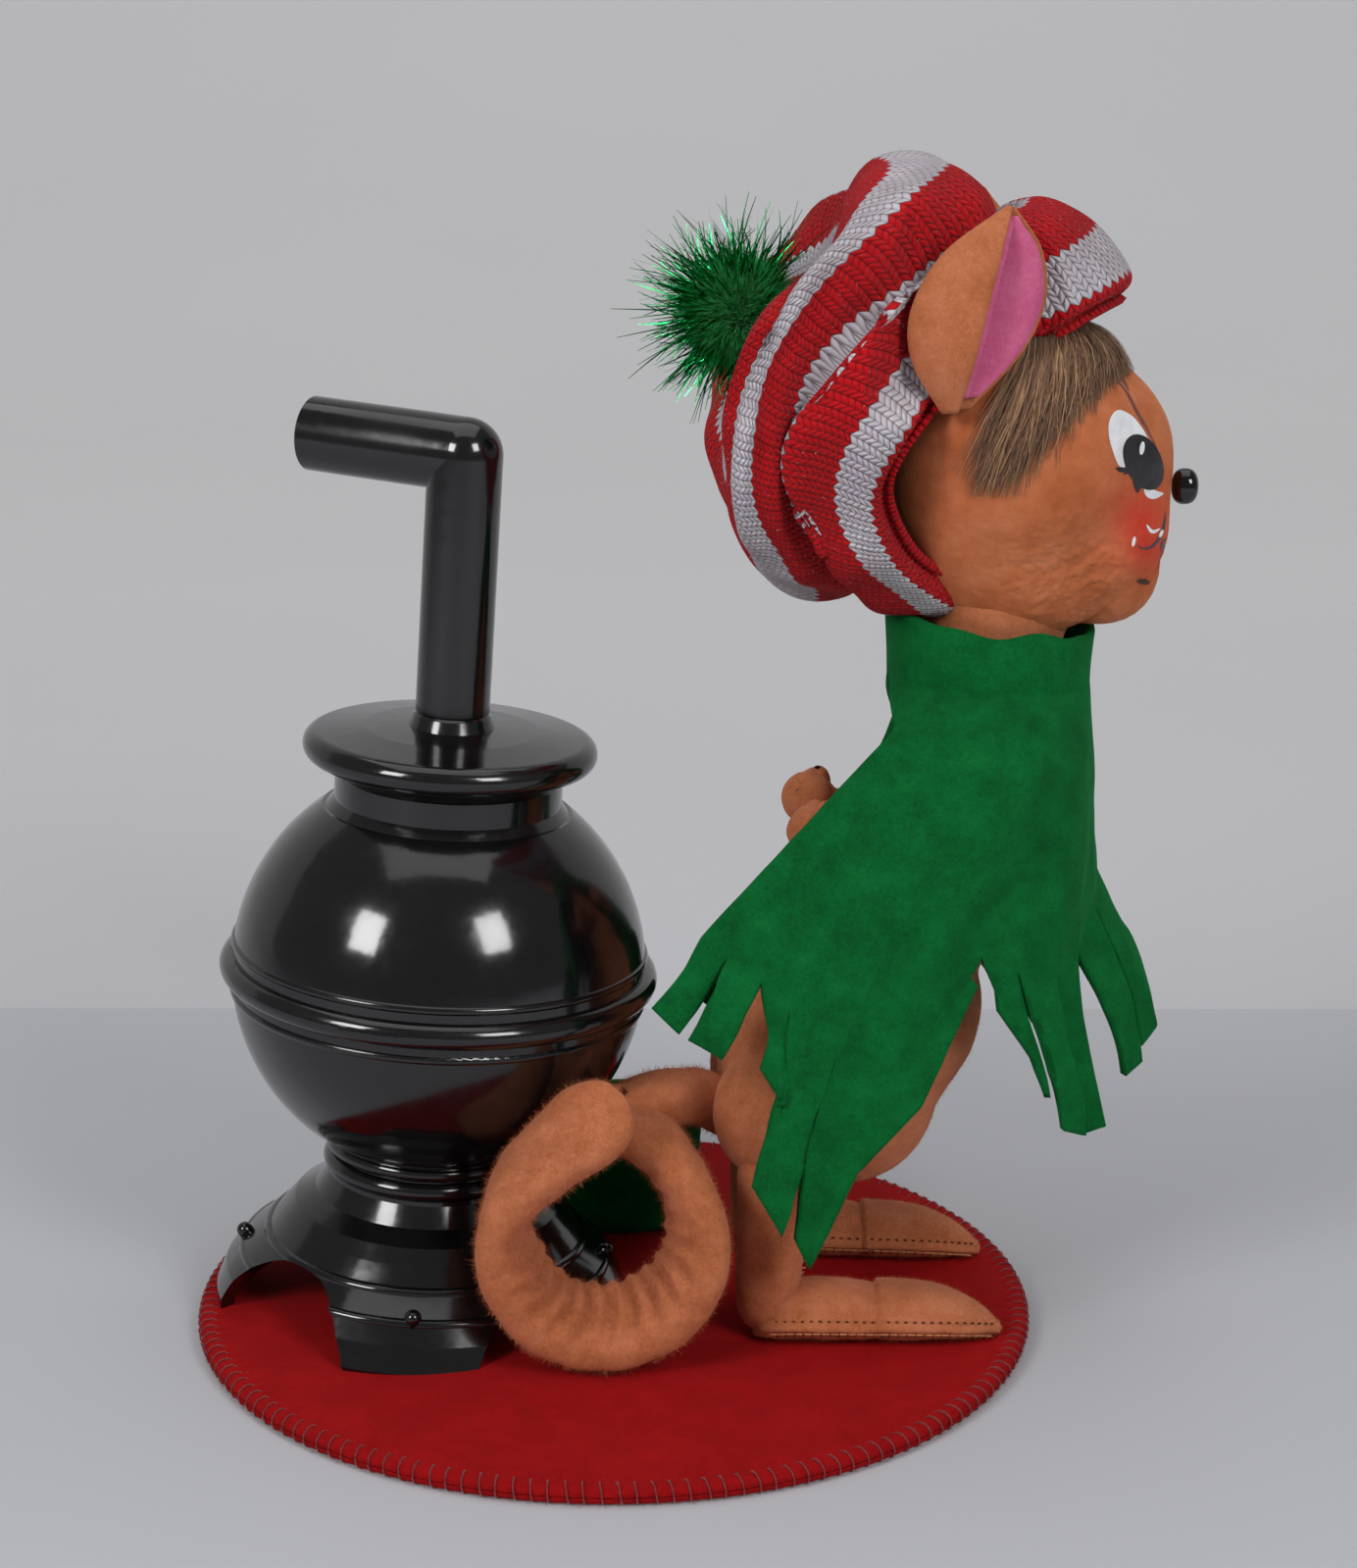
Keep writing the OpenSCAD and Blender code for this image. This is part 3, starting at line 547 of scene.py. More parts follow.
for side, word in ((-1, "near"), (1, "far")):
    a, b = ankle * [1, side, 1], hip * [1, side, 1]
    way = (b - a) / np.linalg.norm(b - a)
    at, r = rounded(np.linalg.norm(b - a), 5.5, 6.5, 60)
    path = a + at[:, None] * way
    rows = limb(path, r, 48, ridge_angle=math.radians(62 if side < 0 else 118), ridge=1.1, seed=side + 5)
    leg = build(f"{word}_felt_leg", rows.reshape(-1, 3), quads(60, 48, wrap=True), tan_felt, "legs",
        "tan_felt")
    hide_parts(f"{word}_leg", f"{word}_leg_wire")
    surface_nap(f"{word}_leg_nap", leg, 5000, 0.8, tan_felt, "legs", "tan_felt", 40 + side)
    ridge_line = rows[6:-6, int(round((62 if side < 0 else 118) / 360 * 48)) % 48]
    run = np.concatenate([[0], np.cumsum(np.linalg.norm(np.diff(ridge_line, axis=0), axis=1))])
    at = np.arange(0.4, run[-1], 1.15)
    places = np.stack([np.interp(at, run, ridge_line[:, k]) for k in range(3)], 1)
    zig = np.where(np.arange(len(at)) % 2, 1.0, -1.0)[:, None]
    stitch_row(f"{word}_leg_zigzag", places + np.array([0.1, side * 0.1, 0]), np.array([0.9, 0, 0.75])
        * zig + [0, 0, 0.4], 1.7, 0.17, seam_thread, "legs", "tan_felt")


# ---- Body: a pear-shaped skin of tan felt over stuffing, one seam up the back and one down
# the belly, with the neck wrapped in a band of the same felt.
def ball_pod(centre, balls, around, up, sharp=10.0, warp=None):
    """A grid round centre that follows the smooth union of some balls (x, y, z, radius)."""
    polar = np.linspace(0.0, math.pi, up)
    polar = np.clip(polar, 0.004, math.pi - 0.004)
    azimuth = np.linspace(0, 2 * math.pi, around, endpoint=False)
    if warp is not None:
        azimuth = azimuth - warp * np.sin(azimuth)
    way = np.stack([
        np.sin(polar)[:, None] * np.cos(azimuth)[None], np.sin(polar)[:, None] * np.sin(azimuth)[None],
        np.repeat(np.cos(polar)[:, None], around, 1)], -1)
    total = np.zeros(way.shape[:2])
    for x, y, z, r in balls:
        offset = np.array([x, y, z]) - centre
        ahead = way @ offset
        room = ahead ** 2 - offset @ offset + r * r
        reach = np.where(room > 0, ahead + np.sqrt(np.clip(room, 0, None)), 0)
        total += np.clip(reach, 0, None) ** sharp
    return np.asarray(centre) + way * (total ** (1 / sharp))[..., None], way


body_balls = [(29.5, -12.5, 42.2, 12.0), (29.5, 12.5, 42.2, 12.0), (43, 0, 40, 13.0), (38, 0, 48, 19.5),
    (45.2, 0, 58.5, 20.5), (52, 0, 78, 16.5), (58, 0, 92, 13.0), (60, 0, 99, 11.0)]
body_grid, body_way = ball_pod(np.array([45.0, 0, 60.0]), body_balls, 160, 130, 9.0)
lump = np.array([[noise.noise(Vector(p) / 9) for p in row] for row in body_grid])
front = np.abs(np.arctan2(body_grid[..., 1], body_grid[..., 0] - 45.0))
seam = 0.5 * np.exp(-((math.pi - front) / 0.05) ** 2) + 0.45 * np.exp(-(front / 0.05) ** 2)
body_grid = body_grid + body_way * (0.5 * lump + seam - 0.5)[..., None]
body = build("felt_body", body_grid.reshape(-1, 3), [f[::-1] for f in quads(130, 160, wrap=True)], tan_felt,
    "torso", "tan_felt")
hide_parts("torso_skin", "torso_stuffing", "spine_wire")
surface_nap("body_nap", body, 12000, 0.8, tan_felt, "torso", "tan_felt", 50, where=lambda p: (p[:, 2] < 75)
    * 1.0)
neck_path = np.array([[60.0, 0, 104], [61.5, 0, 109], [63, 0, 114], [64.2, 0, 119], [65, 0, 123], [65, 0,
    125.5]])
neck_rows = limb(neck_path, [8.8, 8.9, 8.8, 8.6, 8.3, 7.6], 40, seed=9.0)
neck = build("neck_wrap_felt", neck_rows.reshape(-1, 3), quads(6, 40, wrap=True), tan_felt, "torso",
    "tan_felt")
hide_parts("neck_wrap")


# ---- Arms: slim felt tubes on a wire, bent back at the elbow so that both mitten hands
# meet behind the back under the open edge of the poncho.
def smooth_path(points, count):
    """A Catmull-Rom curve through the points, at even steps."""
    p = np.asarray(points, float)
    p = np.concatenate([[2 * p[0] - p[1]], p, [2 * p[-1] - p[-2]]])
    out = []
    for i in range(1, len(p) - 2):
        for t in np.linspace(0, 1, 24, endpoint=False):
            out.append(0.5 * (2 * p[i] + (p[i + 1] - p[i - 1]) * t
                + (2 * p[i - 1] - 5 * p[i] + 4 * p[i + 1] - p[i + 2]) * t ** 2 + (3 * p[i] - p[i - 1] - 3
                * p[i + 1] + p[i + 2]) * t ** 3))
    out = np.array(out + [p[-2]])
    run = np.concatenate([[0], np.cumsum(np.linalg.norm(np.diff(out, axis=0), axis=1))])
    at = np.linspace(0, run[-1], count)
    return np.stack([np.interp(at, run, out[:, k]) for k in range(3)], 1)


for side, word in ((-1, "near"), (1, "far")):
    bones = np.array([[60.5, 18, 105], [55, 19.3, 99], [47, 21, 90.5], [42.5, 20.2, 88], [38.5, 16, 90.2],
        [35.5, 11.5, 93], [32.3, 7.0, 96.4]]) * [1, side, 1]
    path = smooth_path(bones, 70)
    t = np.linspace(0, 1, 70)
    r = 3.9 + 0.9 * np.exp(-((t - 0.9) / 0.09) ** 2) - 0.5 * np.exp(-((t - 0.74) / 0.05) ** 2)
    r = r * np.sqrt(np.clip(1 - (np.clip(0.05 - t, 0, 1) / 0.05) ** 2, 0.002, 1)) * np.sqrt(np.clip(1
        - (np.clip(t - 0.93, 0, 1) / 0.07) ** 2, 0.002, 1))
    rows = limb(path, r, 36, ridge_angle=math.pi / 2, ridge=0.7, seed=side + 8)
    arm = build(f"{word}_felt_arm", rows.reshape(-1, 3), quads(70, 36, wrap=True), tan_felt, f"{word}_arm",
        "tan_felt")
    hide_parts(f"{word}_arm", f"{word}_arm_wire")
    surface_nap(f"{word}_arm_nap", arm, 4500, 0.8, tan_felt, f"{word}_arm", "tan_felt", 60 + side)
    thumb_path = smooth_path([path[58], path[60] + [1.5, side * 1.2, 2.6], path[62] + [1.5, side * 1.0,
        5.4]], 14)
    thumb_r = 1.9 * np.sqrt(np.clip(1 - (np.clip(np.linspace(0, 1, 14) - 0.6, 0, 1) / 0.42) ** 2, 0.01, 1))
    thumb = build(f"{word}_felt_thumb", limb(thumb_path, thumb_r, 20).reshape(-1, 3), quads(14, 20,
        wrap=True), tan_felt, f"{word}_arm", "tan_felt")

# ---- Tail: a wide flat tube of the same felt on a wire, rolled by hand into one turn beside
# the near leg; its rounded end lies across the front of the roll.
tail_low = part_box("tail")[0]
roll_r, roll_x, roll_z = 17.6, -2.2, float(tail_low[2]) / MM + 4.0 + 17.6
turned = np.radians(np.linspace(84, -222, 90))
roll_t = np.linspace(0, 1, 90)
roll = np.stack([
    roll_x + roll_r * np.cos(turned) * (1.03 + 0.05 * np.clip(np.cos(turned), 0, 1)),
    -28.6 + 12.5 * (1 - np.clip(roll_t / 0.36, 0, 1)) ** 2 - 3.0 * roll_t,
    roll_z + roll_r * np.sin(turned) * 1.02], 1)
last_way = roll[-1] - roll[-2]
last_way /= np.linalg.norm(last_way)
end_way = np.array([0.76, -0.10, 0.64])
strip = [roll[-1]]
for k in range(24):
    blend = min(1, (k + 1) / 12)
    way = last_way * (1 - blend) + end_way * blend
    strip.append(strip[-1] + way / np.linalg.norm(way))
root_link = smooth_path([[19.5, -5.5, 41.0], [15.0, -8.0, 44.0], [8.0, -12.5, 45.3], roll[0]], 22)[:-1]
tail_path = np.concatenate([root_link, roll, strip[1:]])
count, sides = len(tail_path), 56
run = np.gradient(tail_path, axis=0)
run /= np.linalg.norm(run, axis=1, keepdims=True)
far = np.concatenate([[0], np.cumsum(np.linalg.norm(np.diff(tail_path, axis=0), axis=1))])
far /= far[-1]
rows = []
for i in range(count):
    s = far[i]
    across = np.array([0, 1.0, 0]) - run[i][1] * run[i]
    across /= np.linalg.norm(across)
    out = np.cross(run[i], across)
    twist = math.radians(68) * max(0.0, (s - 0.76) / 0.24) ** 1.3
    wide_way = across * math.cos(twist) + out * math.sin(twist)
    thick_way = np.cross(run[i], wide_way)
    wide = 7.7 * (0.62 + 0.38 * min(1, s / 0.2))
    thick = 4.7 - 0.5 * s
    tip = math.sqrt(max(0.0, 1 - (max(0.0, s - 0.93) / 0.07) ** 2))
    wide, thick = wide * max(0.07, tip ** 0.85), thick * (0.25 + 0.75 * tip) if tip < 1 else thick
    thick = max(0.25, thick * tip) if s > 0.93 else thick
    ring = []
    for a in np.linspace(0, 2 * math.pi, sides, endpoint=False):
        c, d = math.cos(a), math.sin(a)
        spot = tail_path[i] + wide_way * math.copysign(abs(c) ** 0.8,
            c) * wide + thick_way * math.copysign(abs(d) ** 0.85, d) * thick
        inner = 1.0 if np.dot(thick_way * d, out) < 0 else 0.0
        gather = inner * abs(d) * 0.85 * math.sin(2 * math.pi * s * 27 + 1.2 * math.sin(3 * a)) * math.exp(
            -((s - 0.52) / 0.22) ** 2)
        lump = 0.5 * noise.noise(Vector(spot) / 6)
        spot = spot + (wide_way * c + thick_way * d) * (gather + lump)
        inwards = np.array([roll_x - spot[0], 0, roll_z - spot[2]])
        cone = 5.6 * ((1 + c) / 2) ** 1.4 * min(1, max(0, (s - 0.2) / 0.12)) * min(1, max(0,
            (0.84 - s) / 0.12))
        spot = spot + inwards / np.linalg.norm(inwards) * cone
        ring.append(spot)
    rows.append(ring)
rows = np.array(rows)
rows[..., 2] = np.maximum(rows[..., 2], base_high + 0.25)
tail = build("felt_tail", rows.reshape(-1, 3), quads(count, sides, wrap=True), tan_felt, "tail", "tan_felt")
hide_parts("tail", "tail_wire")
surface_nap("tail_nap", tail, 30000, 1.5, tan_felt, "tail", "tan_felt", 70, width=0.05)


# ---- Head: a moulded felt mask over a stuffed ball, the felt pressed smooth on the face and
# pitted below the cheeks, with the features painted on it by hand.
head_mid = np.array([68.0, 0, 152.0])
head_balls = [(68, 0, 158, 23.0), (68.5, 0, 141.6, 16.0), (80, 0, 145.0, 14.2), (62, 0, 149, 17.2), (84, 0,
    136.5, 7.2), (82, 0, 158, 12.2), (66, 0, 137.5, 9.5)]
head_grid, head_way = ball_pod(head_mid, head_balls, 420, 300, 11.0, warp=0.35)
spots = head_grid.reshape(-1, 3)
pits = np.array([noise.noise(Vector(p) / 1.5) + 0.6 * noise.noise(Vector(p) / 0.8) for p in spots])
slow = np.array([noise.noise(Vector(p) / 10) for p in spots])
cheek_zone = np.exp(-(((spots[:, 0] - 78) / 12) ** 2 + ((spots[:, 2] - 140) / 9) ** 2))
mid_seam = 0.35 * np.exp(-(spots[:, 1] / 0.7) ** 2) * (spots[:, 2] < 134)
head_points = spots + head_way.reshape(-1, 3) * ((0.06 + 0.32 * cheek_zone) * pits + 0.5 * slow
    + mid_seam)[:, None]
head_faces = [f[::-1] for f in quads(300, 420, wrap=True)]


def blend_colours(tree, share, low, high):
    """Mixes two colours by a share."""
    node = tree.nodes.new("ShaderNodeMix")
    node.data_type = "RGBA"
    tree.links.new(share, node.inputs[0])
    for socket, source in ((node.inputs[6], low), (node.inputs[7], high)):
        if isinstance(source, tuple):
            socket.default_value = source
        else:
            tree.links.new(source, socket)
    return node.outputs[2]


def pressed_mask_felt(name):
    """The same wool felt steamed over a mould, which lays the nap flat and leaves brown specks
    and small pits, with red powder blushed on the cheeks."""
    material, tree, shader = finish_named(name, 0.9, Sheen_Weight=0.2, Sheen_Roughness=0.6,
        Sheen_Tint=linear("#e0a884"))
    shader.inputs["Specular IOR Level"].default_value = 0.2
    place = add(tree, "TexCoord").outputs["Object"]
    slow = add(tree, "TexNoise", {"Vector": place}, Scale=120.0, Detail=5.0, Roughness=0.6)
    fine = add(tree, "TexNoise", {"Vector": place}, Scale=1100.0, Detail=4.0, Roughness=0.75,
        Distortion=0.8)
    felt = ramp(tree, slow.outputs["Fac"], [(0.3, "#a75930"), (0.5, "#bd6b42"), (0.7, "#c97b53")])
    speck = add(tree, "MapRange", {"Value": fine.outputs["Fac"]}, From_Min=0.60, From_Max=0.74, To_Min=0.0,
        To_Max=0.65)
    specked = blend_colours(tree, speck.outputs["Result"], felt, linear("#8a4a20"))
    blush = add(tree, "Attribute", attribute_name="blush").outputs["Fac"]
    grain = add(tree, "Math", {0: blush, 1: fine.outputs["Fac"]}, operation="MULTIPLY")
    share = add(tree, "Math", {0: grain.outputs[0], 1: blush}, operation="ADD", use_clamp=True)
    coat(tree, shader, blend_colours(tree, share.outputs[0], specked, linear("#c62f22")))
    emboss(tree, shader, fine.outputs["Fac"], 0.5, 0.14)
    return material


mask_felt = pressed_mask_felt("pressed_mask_felt")
head = build("felt_head", head_points, head_faces, mask_felt, "head", "tan_felt")
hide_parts("head_skin", "head_stuffing")
viewer = np.array([3.0, -509.0, 238.0])      # the features are drawn in side elevation from here
mirrored = head_points.copy()
mirrored[:, 1] = -np.abs(mirrored[:, 1])
reach = (0 - viewer[1]) / (mirrored[:, 1] - viewer[1])
drawn = viewer[[0, 2]] + (mirrored[:, [0, 2]] - viewer[[0, 2]]) * reach[:, None]
blush = 0.58 * np.exp(-(((drawn[:, 0] - 90.2) / 5.6) ** 2 + ((drawn[:, 1] - 146.5)
    / 7.0) ** 2)) + 0.30 * np.exp(-(((drawn[:, 0] - 92.5) / 4.5) ** 2 + ((drawn[:, 1] - 140.0) / 4.0) ** 2))
blush[head_points[:, 0] < 74] = 0
head.data.attributes.new("blush", "FLOAT", "POINT").data.foreach_set("value", blush.astype(np.float32))
surface_nap("head_nap", head, 9000, 0.6, mask_felt, "head", "tan_felt", 80, width=0.04,
    where=lambda p: ((p[:, 0] < 84) | (p[:, 2] < 134)) * 1.0)
chin_neck = limb([[66, 0, 137], [65.8, 0, 133], [65.5, 0, 129.5], [65.3, 0, 127.2]], [12.5, 13.2, 12.6,
    12.0], 56, seed=3.0)
build("head_gathered_neck", chin_neck.reshape(-1, 3), quads(4, 56, wrap=True), tan_felt, "head", "tan_felt")

head_shape = BVHTree.FromPolygons([tuple(p) for p in head_points], [tuple(map(int, f)) for f in head_faces])


def enamel(name, colour, second, rough):
    """Acrylic craft paint brushed on felt: it sinks in a little, so it's satin and streaky."""
    material, tree, shader = finish_named(name, rough)
    brushed = mottle(tree, Scale=500.0, Detail=3.0)
    coat(tree, shader, ramp(tree, brushed.outputs["Fac"], [(0.35, colour), (0.65, second)]))
    return material


white_paint = enamel("white_acrylic_paint", "#dfe0e4", "#f0f0f2", 0.45)
black_paint = enamel("black_acrylic_paint", "#1d1c20", "#2a292d", 0.3)
brown_paint = enamel("brown_acrylic_line", "#6d3b38", "#865049", 0.6)
red_paint = enamel("red_acrylic_paint", "#a8182c", "#c42a38", 0.5)
mouth_paint = enamel("grey_acrylic_paint", "#39323a", "#4c444c", 0.5)
chin_paint = enamel("dark_brown_dab", "#3d2418", "#5a3524", 0.8)


def painted(name, outline, material, side, lift):
    """A shape drawn in side elevation, filled with small triangles and laid on the face."""
    line = np.asarray(outline, float)
    closed = np.concatenate([line, line[:1]])
    run = np.concatenate([[0], np.cumsum(np.linalg.norm(np.diff(closed, axis=0), axis=1))])
    count = max(12, int(run[-1] / 0.28))
    at = np.linspace(0, run[-1], count, endpoint=False)
    edge = np.stack([np.interp(at, run, closed[:, k]) for k in range(2)], 1)
    lows, highs = edge.min(0), edge.max(0)
    inside = [(x, z) for x in np.arange(lows[0], highs[0], 0.4) for z in np.arange(lows[1], highs[1], 0.4)]
    made = delaunay_2d_cdt([Vector(p) for p in edge.tolist() + inside],
        [(i, (i + 1) % count) for i in range(count)], [], 1, 1e-5)
    points = []
    watcher = Vector(viewer * [1, -side, 1])
    for p in made[0]:
        way = (Vector((p[0], 0.0, p[1])) - watcher).normalized()
        hit, normal, _, _ = head_shape.ray_cast(watcher, way)
        if hit is None:
            hit, normal, _, _ = head_shape.find_nearest(Vector((p[0], 1.0 * side, p[1])))
        normal = normal if normal.dot(way) < 0 else -normal
        points.append(np.array(hit + normal * lift))
    return build(name, points, [tuple(f) for f in made[2]], material, "head", "tan_felt")


def stroke(points, width):
    """The outline of a brush stroke that tapers to both ends."""
    p = smooth_path([[x, 0, z] for x, z in points], 24)[:, [0, 2]]
    way = np.gradient(p, axis=0)
    way /= np.linalg.norm(way, axis=1, keepdims=True)
    side = way[:, ::-1] * [-1, 1]
    half = width / 2 * np.sin(np.linspace(0.12, math.pi - 0.12, 24))[:, None]
    return np.concatenate([p + side * half, (p - side * half)[::-1]])


def oval(centre, long_way, half_long, half_short):
    """An ellipse's outline, its long axis along a direction."""
    way = np.asarray(long_way, float) / np.linalg.norm(long_way)
    a = np.linspace(0, 2 * math.pi, 60, endpoint=False)[:, None]
    return np.asarray(centre) + way * np.cos(a) * half_long + way[::-1] * [-1, 1] * np.sin(a) * half_short


eye_white = smooth_path([[x, 0, z] for x, z in [(87.9, 155.0), (85.9, 155.6), (84.7, 158.0), (83.8, 161.0),
    (83.9, 163.6), (85.2, 165.2), (87.6, 164.2), (89.6, 161.9), (91.3, 159.0)]], 60)[:, [0, 2]]
for side, word in ((-1, "near"), (1, "far")):
    painted(f"{word}_eye_white", eye_white, white_paint, side, 0.05)
    painted(f"{word}_eye_pupil", oval((89.9, 156.3), (0.44, -0.90), 5.1, 3.1), black_paint, side, 0.10)
    painted(f"{word}_eye_light", oval((89.5, 158.7), (0.1, 1), 1.15, 0.42), white_paint, side, 0.16)
    painted(f"{word}_eye_lower_white", stroke([(90.3, 153.0), (91.5, 150.9), (93.6, 150.9)], 1.7),
        white_paint, side, 0.07)
    for n, (lash, width) in enumerate((([(87.4, 155.4), (86.4, 155.0), (85.2, 155.3)], 0.9),
        ([(88.2, 154.6), (89.0, 153.2), (89.2, 151.0)], 1.5),
        ([(87.6, 155.4), (86.9, 154.4), (86.6, 154.2)], 0.7))):
        painted(f"{word}_lower_lash_{n}", stroke(lash, width), black_paint, side, 0.12)
    for n, line in enumerate(([(83.6, 170.9), (86.2, 168.7), (88.5, 164.8), (90.7, 161.3), (92.6, 157.6)],
        [(80.4, 170.7), (81.2, 169.8), (82.0, 169.2)], [(82.4, 170.4), (82.0, 168.5), (82.1, 166.7)],
        [(81.0, 167.8), (81.2, 166.0), (81.6, 164.2)], [(82.7, 171.6), (84.1, 171.3), (85.6, 169.8)],
        [(84.6, 170.9), (85.8, 170.3), (87.0, 168.4)])):
        painted(f"{word}_brow_line_{n}", stroke(line, 0.42 if n else 0.5), brown_paint, side, 0.08)
    painted(f"{word}_mouth_line",
        stroke([(89.3, 142.2), (90.2, 141.5), (91.6, 141.5), (92.9, 142.6), (93.8, 144.7), (94.2, 147.9)],
        0.55), mouth_paint, side, 0.09)
    painted(f"{word}_mouth_corner_white", oval((88.9, 142.6), (0.15, 1), 0.9, 0.3), white_paint, side, 0.08)
    painted(f"{word}_lip_white", stroke([(90.9, 145.6), (92.0, 144.3), (93.4, 144.9)], 0.6), white_paint,
        side, 0.08)
    painted(f"{word}_tooth_white", oval((93.5, 144.0), (0.4, 1), 0.75, 0.28), white_paint, side, 0.12)
    painted(f"{word}_open_mouth", oval((94.6, 141.8), (0.0, 1), 1.5, 1.1), mouth_paint, side, 0.07)
    painted(f"{word}_tongue", oval((94.5, 138.7), (0.12, 1), 2.9, 1.15), red_paint, side, 0.09)
    painted(f"{word}_chin_dab", oval((90.9, 135.6), (1, -0.15), 1.15, 0.5), chin_paint, side, 0.08)


# ---- Nose: an oval bead of black glossy glass on a shank pushed through the felt.
nose_material, nose_tree, nose_shader = finish_named("black_glass_bead", 0.08, IOR=1.52, Coat_Weight=0.3)
smoke = mottle(nose_tree, Scale=400.0)
coat(nose_tree, nose_shader, ramp(nose_tree, smoke.outputs["Fac"], [(0.3, "#060606"), (0.7, "#0c0b0c")]))
bead_mid = np.array([97.2, 0.0, 152.2])
bead_turn = np.linspace(0, 2 * math.pi, 48, endpoint=False)
bead_rows = []
for t in np.linspace(0.02, math.pi - 0.02, 32):
    r = max(math.sin(t), 0) ** 0.8
    bead_rows.append(np.stack([bead_mid[0] + np.full(48, -2.3
        * math.copysign(abs(math.cos(t)) ** 0.8, math.cos(t))), bead_mid[1] + 2.7 * r * np.cos(bead_turn),
        bead_mid[2] + 3.1 * r * np.sin(bead_turn)], 1))
nose = build("nose_bead_black", np.concatenate(bead_rows), quads(32, 48, wrap=True), nose_material, "head",
    "black_bead")
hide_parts("nose_bead")


# ---- Ears: a tan felt leaf with a smaller pink leaf glued inside, both cupped so that they
# open forwards, and sewn down at the root.
pink_felt = wool_felt("pink_craft_felt", "#c2527c", "#cf6089", "#da7499", "#f0a8c4")
spine = smooth_path([[53.5, -21.3, 167.8], [48.6, -22.0, 176.0], [48.2, -22.2, 184.0], [53.0, -22.0, 193.0],
    [62.8, -21.6, 200.6]], 46)
near_rim = smooth_path([[55.6, -23.2, 168.0], [57.6, -26.3, 176.0], [59.4, -26.6, 184.5], [61.4, -25.0,
    192.5], [63.4, -22.2, 200.7]], 46)
far_rim = smooth_path([[57.8, -22.0, 168.6], [65.8, -20.0, 177.0], [69.6, -18.8, 185.5], [68.6, -19.8,
    194.0], [63.8, -21.6, 200.7]], 46)
leaf_u = np.linspace(0, 1, 30)[None, :, None]
control = (2 * spine - 0.5 * (near_rim + far_rim))[:, None]
leaf = (1 - leaf_u) ** 2 * near_rim[:, None] + 2 * leaf_u * (1
    - leaf_u) * control + leaf_u ** 2 * far_rim[:, None]
inner_way = np.cross(np.gradient(leaf, axis=0), np.gradient(leaf, axis=1))
inner_way /= np.linalg.norm(inner_way, axis=2, keepdims=True) + 1e-9
if inner_way[23, 15, 0] < 0:
    inner_way = -inner_way
for side, word in ((-1, "near"), (1, "far")):
    flip = np.array([1, -side, 1])
    ear = felt_sheet(f"{word}_ear_outer", leaf * flip, 0.9, tan_felt, "head", "tan_felt")
    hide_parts(f"{word}_ear")
    inwards = (near_rim + far_rim)[:, None] / 2 - leaf
    deep = np.linalg.norm(inwards, axis=2, keepdims=True)
    lining = (leaf + inwards / (deep + 1e-9) * np.minimum(0.9, 0.5 * deep) + inner_way * 0.75 * np.abs(2
        * leaf_u - 1) ** 2)[3:-2]
    inner = felt_sheet(f"{word}_ear_lining_pink", lining * flip, 0.6, pink_felt, "head", "pink_felt")
    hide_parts(f"{word}_ear_lining")
    surface_nap(f"{word}_ear_nap", ear, 1500, 0.6, tan_felt, "head", "tan_felt", 90 + side)

# ---- Hair: a tuft of brown-grey plush fur glued on the crown, combed forward over the forehead
# and down in front of each ear to a lock on the cheek; more of it shows under the hat behind.
def lock_colours(name, stops, rough):
    """Fur or tinsel whose colour is picked per strand, with painted shade that darkens it towards the root.
    """
    material, tree, shader = finish_named(name, rough, Sheen_Weight=0.3, Sheen_Tint=linear("#c9b79a"))
    place = add(tree, "SeparateXYZ", {"Vector": add(tree, "UVMap", uv_map="UVMap").outputs["UV"]})
    strand = ramp(tree, place.outputs["X"], stops)
    # painted shade: each strand turns dark brown towards its root, where the strands above shade it
    root_shaded = blend_colours(tree, ramp(tree, place.outputs["Y"], [(0.0, "#ffffff"), (0.35, "#000000")]),
        strand, linear("#2c1d12"))
    coat(tree, shader, root_shaded)
    return material


def ribbons(paths, width, facing, rng):
    """Points, faces and per-strand UVs of flat tapered strips that follow paths."""
    count, steps = paths.shape[:2]
    run = np.gradient(paths, axis=1)
    side = np.cross(run, facing)
    side /= np.linalg.norm(side, axis=2, keepdims=True) + 1e-9
    taper = np.linspace(1.0, 0.12, steps)[None, :, None] ** 0.7
    side = side * width / 2 * taper
    points = np.stack([paths - side, paths + side], 2).reshape(-1, 3)
    one = quads(steps, 2)
    faces = (one[None] + (np.arange(count) * steps * 2)[:, None, None]).reshape(-1, 4)
    shade = np.repeat(rng.random(count), steps * 2)
    along = np.tile(np.repeat(np.linspace(0, 1, steps), 2), count)
    return points, faces, np.stack([shade, along], 1)


plush = lock_colours("brown_grey_plush_fur", [(0.0, "#4e3523"), (0.5, "#735037"), (0.85, "#916b4a"),
    (1.0, "#ab8660")], 0.75)
crown = np.array([68.0, 0.0, 158.0])


def on_skull(turn, rise, off):
    """A point off the skull's surface: turn from the front and rise above the level, in degrees."""
    turn, rise = np.radians(turn), np.radians(rise)
    way = np.stack([np.cos(rise) * np.cos(turn), np.cos(rise) * np.sin(turn), np.sin(rise)], -1)
    points = []
    for w, o in zip(way.reshape(-1, 3), np.broadcast_to(off, way.shape[:-1]).ravel()):
        hit = head_shape.ray_cast(Vector(crown + w * 60), Vector(-w))[0]
        points.append(np.array(hit) + w * o)
    return np.array(points).reshape(way.shape), way


